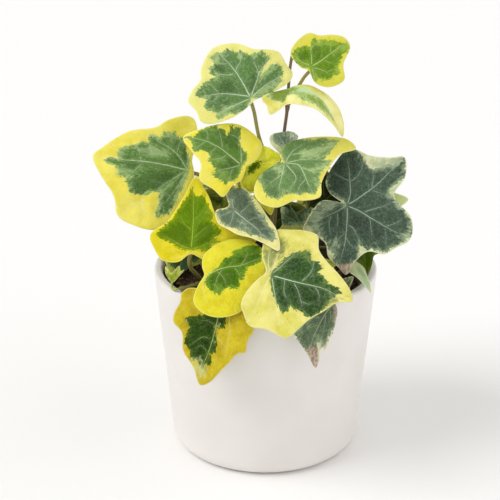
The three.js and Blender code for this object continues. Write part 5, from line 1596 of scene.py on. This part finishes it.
def petiole_line(vine, leaf):
    """From the vine to the blade, which it meets square from below."""
    place = Placing(leaf)
    up = place.up()
    top = place.at((0, 0, 0))[0]
    below = top - up * (BLADE / 2 + GAP)
    spots = evenly(vine, 121)
    start = spots[np.linalg.norm(spots - np.array(leaf["petiole"][0], float), axis=1).argmin()]
    passed = [start, *leaf["petiole"][1:], below - up * STALK_STRAIGHT, below, top - up * CREASE * 0.5]
    return smooth_through(passed, steps=10)


def stem_radii(line, radius, stalks):
    """A stem's radius along its line: it swells where each stalk leaves it, and thins to its tip."""
    radii = np.full(len(line), radius * BARE_STEM)
    for stalk in stalks:
        away = np.linalg.norm(line - stalk[0], axis=1)
        radii += 0.28 * np.exp(-((away / 1.6) ** 2))
    return radii * (1 - 0.22 * np.linspace(0, 1, len(line)) ** 2)


def stalk_radii(count, leaf):
    """A stalk's radius along its line: it is thicker where it leaves the stem and meets the blade."""
    radius = BARE_STALK * leaf.get("stalk", SMALL_STALK_RADIUS if leaf.get("small") else STALK_RADIUS)
    share = np.linspace(0, 1, count)
    return radius * (1 + 0.35 * np.exp(-share / 0.06) + 0.3 * np.exp(-(1 - share) / 0.03))


def make_vines():
    """Each vine with its leaves' stalks, whose stem alone is marked as woody."""
    olive = stem_finish("vine_skin", stalk=(158, 152, 78), wood=(118, 90, 72))
    young = stem_finish("sprout_skin", stalk=(176, 186, 92), wood=(132, 134, 56))
    for name, vine in VINES.items():
        line = vine_line(vine)
        line = evenly(line, max(12, round(length_of(line) / STEM_STEP)))
        leaves = [leaf for leaf in LEAVES.values() if leaf["vine"] == name]
        stalks = [petiole_line(line, leaf) for leaf in leaves]
        bm = bmesh.new()
        woody = bm.verts.layers.float.new("woody")
        tube(bm, line, stem_radii(line, vine.get("radius", VINE_RADIUS), stalks))
        for v in bm.verts:
            v[woody] = 1.0
        for stalk, leaf in zip(stalks, leaves):
            stalk = evenly(stalk, max(8, round(length_of(stalk) / STALK_STEP)))
            tube(bm, stalk, stalk_radii(len(stalk), leaf))
        mesh = mesh_in_metres(bm, "fine_vine_" + name)
        skin = young if name == "sprout" else olive
        finished("fine_vine_" + name, mesh, skin, "stem_skin", "vine_" + name)


def stem_finish(name, stalk, wood):
    """A stem's skin: brown wood and greener stalks, finely streaked, and darker down in the pot."""
    skin = Finish(name)
    place = skin.place()
    streaks = skin.noise(place, 1.8 * MM, 4.0, 0.7)
    broad = skin.noise(place, 20 * MM, 1.0)
    woody = skin.marked("woody")
    colour = skin.mix(stalk, wood, woody * skin.rise(broad, 0.3, 0.6, 0.5, 1.0))
    colour = skin.mix(colour, STEM_STREAK, skin.rise(streaks, 0.52, 0.72) * 0.4)
    colour = skin.mix(colour, STEM_DARK_STREAK, skin.rise(streaks, 0.46, 0.3) * 0.4)
    low_down = skin.rise(skin.height(place), SHADE_TOP * MM, SHADE_BOTTOM * MM)
    colour = skin.mix(colour, STEM_SHADED, low_down * (woody * 0.4 + 0.06))
    skin.set(colour=colour, roughness=skin.rise(streaks, 0.3, 0.7, 0.45, 0.62),
             normal=skin.bump(streaks, 0.2 * MM, 0.5))
    return skin.material


# Pots and bark


def pot_outer(height):
    return POT_FOOT_RADIUS + (POT_RIM_RADIUS - POT_FOOT_RADIUS) / POT_HEIGHT * height


def make_cover_pot():
    """Its profile runs out over the foot, up the side, over the lip, and down and in over the floor."""
    foot, lip, corner = POT_FOOT_ROUNDING, POT_LIP_ROUNDING, POT_INNER_ROUNDING
    lip_level = POT_HEIGHT - lip
    inner_rim = POT_RIM_RADIUS - POT_WALL
    inner_foot = pot_outer(POT_FLOOR) - POT_WALL
    outer_levels = np.linspace(foot + 1, lip_level - 2, 16)
    inner_levels = np.linspace(lip_level - 3, POT_FLOOR + 4, 12)
    inner_radii = np.interp(inner_levels, (POT_FLOOR + corner, lip_level), (inner_foot, inner_rim))
    profile = [
        (0, 0), (FLAT_RING, 0), (pot_outer(foot) - foot - 3, 0),
        *arc((pot_outer(foot) - foot, foot), foot, -90, -5, 14),
        *[(pot_outer(level), level) for level in outer_levels],
        *arc((POT_RIM_RADIUS - POT_LIP_INSET - lip, lip_level), lip, 0, 90, 8),
        *arc((inner_rim + lip, lip_level), lip, 90, 180, 8),
        *zip(inner_radii, inner_levels),
        *arc((inner_foot - corner, POT_FLOOR + corner), corner, 0, -90, 6),
        (FLAT_RING, POT_FLOOR), (0, POT_FLOOR),
    ]
    mesh = mesh_in_metres(spun(profile), "glazed_pot")
    finished("glazed_pot", mesh, glaze_finish(), "white_glaze", "cover_pot")


def glaze_finish():
    """Satin white glaze with a faint unevenness and a few pin specks."""
    glaze = Finish("satin_white_glaze")
    place = glaze.place()
    pull = glaze.noise(place, 30 * MM, 2.0)
    grain = glaze.noise(place, 2.2 * MM, 3.0, 0.6)
    colour = glaze.mix(GLAZE, GLAZE_POOLED, glaze.rise(pull, 0.35, 0.65))
    colour = glaze.mix(colour, GLAZE_SPECK, glaze.rise(grain, 0.7, 0.78) * 0.3)
    glaze.set(colour=colour, roughness=glaze.rise(grain, 0.3, 0.7, 0.34, 0.42),
              normal=glaze.bump(pull * 0.7 + grain * 0.06, 0.4 * MM, 0.2))
    return glaze.material


def make_nursery_pot():
    """Its profile runs out over the foot, up the wall and the rim band, and down the inside."""
    base = POT_FLOOR + GAP
    top = base + NURSERY_HEIGHT
    shoulder = top - NURSERY_RIM_BAND
    neck = NURSERY_RIM_RADIUS - NURSERY_RIM_STEP
    wall, bead = NURSERY_WALL, NURSERY_BEAD
    profile = [
        (0, base), (NURSERY_FOOT_RADIUS - 1, base), (NURSERY_FOOT_RADIUS, base + 1),
        (neck, shoulder - 0.4), (neck + 0.3, shoulder), (NURSERY_RIM_RADIUS - 0.3, shoulder),
        (NURSERY_RIM_RADIUS, shoulder + 0.4),
        *arc((NURSERY_RIM_RADIUS - bead, top - bead), bead, 0, 180, 8),
        (NURSERY_RIM_RADIUS - wall - 0.5, shoulder + 0.5), (neck - wall, shoulder - 2),
        (NURSERY_FOOT_RADIUS - wall, base + wall), (0, base + wall),
    ]
    mesh = mesh_in_metres(spun(profile), "growing_pot")
    finished("growing_pot", mesh, plastic_finish(), "dark_plastic", "nursery_pot")


def plastic_finish():
    """Dark moulded plastic with a pale haze."""
    plastic = Finish("dark_moulded_plastic")
    haze = plastic.noise(plastic.place(), 6 * MM, 4.0, 0.6)
    colour = plastic.mix(PLASTIC, PLASTIC_HAZE, plastic.rise(haze, 0.45, 0.75) * 0.7)
    plastic.set(colour=colour, roughness=plastic.rise(haze, 0.3, 0.7, 0.42, 0.6),
                normal=plastic.bump(haze, 0.2 * MM, 0.4))
    return plastic.material


def nursery_inner(height):
    """The growing pot's inner radius at a height, less the gap to the bark."""
    base = POT_FLOOR + GAP
    shoulder = base + NURSERY_HEIGHT - NURSERY_RIM_BAND
    rise = (height - base) / (shoulder - base)
    flare = NURSERY_RIM_RADIUS - NURSERY_RIM_STEP - NURSERY_FOOT_RADIUS
    return NURSERY_FOOT_RADIUS + rise * flare - NURSERY_WALL - GAP


def bark_radius(height):
    """The filling's radius at a height."""
    return nursery_inner(height) - SOIL_CLEARANCE


def bark_level(x, y):
    """The bark's height, as in the part: a mound with a few crossed ripples."""
    edge = bark_radius(SOIL_LEVEL)
    mound = SOIL_MOUND * (1 - (x * x + y * y) / edge**2)
    ripple = 0.9 * math.sin(x / 4.1 + 1) * math.cos(y / 5.3) + 0.6 * math.sin((x + 2 * y) / 7.7)
    fade = min(1.0, max(0.0, (edge - math.hypot(x, y)) / 4))
    return SOIL_LEVEL + mound + ripple * fade


def scatter(bm, rng, count, sizes, tints):
    """Loose pieces over the bark, each a small lump that is flattened, turned and dented."""
    tint = bm.verts.layers.float["tint"]
    for _ in range(count):
        reach = (bark_radius(SOIL_LEVEL) - LOOSE_MARGIN) * math.sqrt(rng.random())
        turn = rng.uniform(0, FULL_TURN)
        x, y = reach * math.cos(turn), reach * math.sin(turn)
        size = rng.uniform(*sizes)
        shape = Matrix.Diagonal((size, size * rng.uniform(0.4, 0.7), size * rng.uniform(0.22, 0.45), 1))
        spin = Matrix.Rotation(rng.uniform(0, 6.3), 4, "Z")
        lean = Matrix.Rotation(rng.uniform(-0.6, 0.6), 4, "X")
        rest = Matrix.Translation((x, y, bark_level(x, y) + rng.uniform(0.1, 0.8)))
        lump = bmesh.ops.create_icosphere(bm, subdivisions=1, radius=0.5, matrix=rest @ spin @ lean @ shape)
        shade = rng.uniform(*tints)
        for v in lump["verts"]:
            v[tint] = shade
            v.co += Vector([rng.uniform(-DENT, DENT) * size for _ in range(3)])


def make_bark():
    """The filling as one body, with loose chips of bark and a few pale grains on its top."""
    rng = random.Random(11)
    loose = bmesh.new()
    loose.verts.layers.float.new("tint")
    scatter(loose, rng, **BARK_CHIPS)
    scatter(loose, rng, **PALE_GRAINS)

    edge = bark_radius(SOIL_LEVEL)
    bottom = POT_FLOOR + GAP + NURSERY_WALL + GAP
    profile = [(0, bottom), (bark_radius(bottom), bottom), (edge, SOIL_LEVEL)]
    profile += [(edge * (1 - ring / BARK_RINGS), SOIL_LEVEL) for ring in range(1, BARK_RINGS + 1)]
    filling = spun(profile)
    tint = filling.verts.layers.float.new("tint")
    for v in filling.verts:
        if v.co.z > SOIL_LEVEL - 0.5:
            rough = rng.uniform(-BARK_ROUGHNESS, BARK_ROUGHNESS) * (v.co.xy.length < edge - 1)
            v.co.z = bark_level(v.co.x, v.co.y) + rough
        v[tint] = rng.uniform(0.0, 0.25)
    join(filling, loose)
    mesh = mesh_in_metres(filling, "potting_bark")
    finished("potting_bark", mesh, bark_finish(), "bark_mix", "soil", smooth=False)


def bark_finish():
    """Damp bark, each chip in its own tint, with dark cracks, and the pale grains."""
    bark = Finish("damp_bark", roughness=0.85)
    grain = bark.noise(bark.place(), 1.2 * MM, 5.0, 0.7)
    tint = bark.marked("tint")
    colour = bark.mix(BARK_DARK, BARK_LIGHT, bark.rise(tint, 0.1, 0.75))
    colour = bark.mix(colour, PALE_GRAIN, bark.rise(tint, 0.8, 0.86))
    colour = bark.mix(colour, BARK_CRACK, bark.rise(grain, 0.5, 0.34) * 0.7)
    bark.set(colour=colour, normal=bark.bump(grain, 0.6 * MM, 0.8))
    return bark.material


# Room


def make_floor():
    bm = bmesh.new()
    bmesh.ops.create_grid(bm, x_segments=1, y_segments=1, size=FLOOR_REACH)
    mesh = mesh_of(bm, "floor")
    floor = bpy.data.objects.new("floor", mesh)
    bpy.context.scene.collection.objects.link(floor)
    mesh.materials.append(Finish("pale_floor", colour=linear(FLOOR_COLOUR), roughness=0.7).material)


def make_light():
    """A soft light all round, and two broad suns that come from the left and the right."""
    world = bpy.data.worlds.new("soft_room")
    world.use_nodes = True
    background = world.node_tree.nodes["Background"]
    background.inputs["Color"].default_value = ROOM_COLOUR
    background.inputs["Strength"].default_value = ROOM_STRENGTH
    bpy.context.scene.world = world
    for name, energy, spread, way in SUNS:
        sun = bpy.data.lights.new(name, "SUN")
        sun.energy = energy
        sun.angle = math.radians(spread)
        holder = bpy.data.objects.new(name, sun)
        holder.rotation_euler = Vector(way).to_track_quat("Z", "Y").to_euler()
        bpy.context.scene.collection.objects.link(holder)
    bpy.context.scene.view_settings.view_transform = "Standard"


def make_camera():
    camera = bpy.data.cameras.new("camera")
    camera.sensor_width = CAMERA_SENSOR
    camera.lens = CAMERA_LENS
    holder = bpy.data.objects.new("camera", camera)
    holder.location = CAMERA_PLACE
    holder.rotation_euler = (math.radians(CAMERA_TILT), 0, math.radians(CAMERA_TURN))
    bpy.context.scene.collection.objects.link(holder)
    bpy.context.scene.camera = holder


make_camera()
make_light()
make_floor()
make_cover_pot()
make_nursery_pot()
make_bark()
make_vines()
make_leaves()
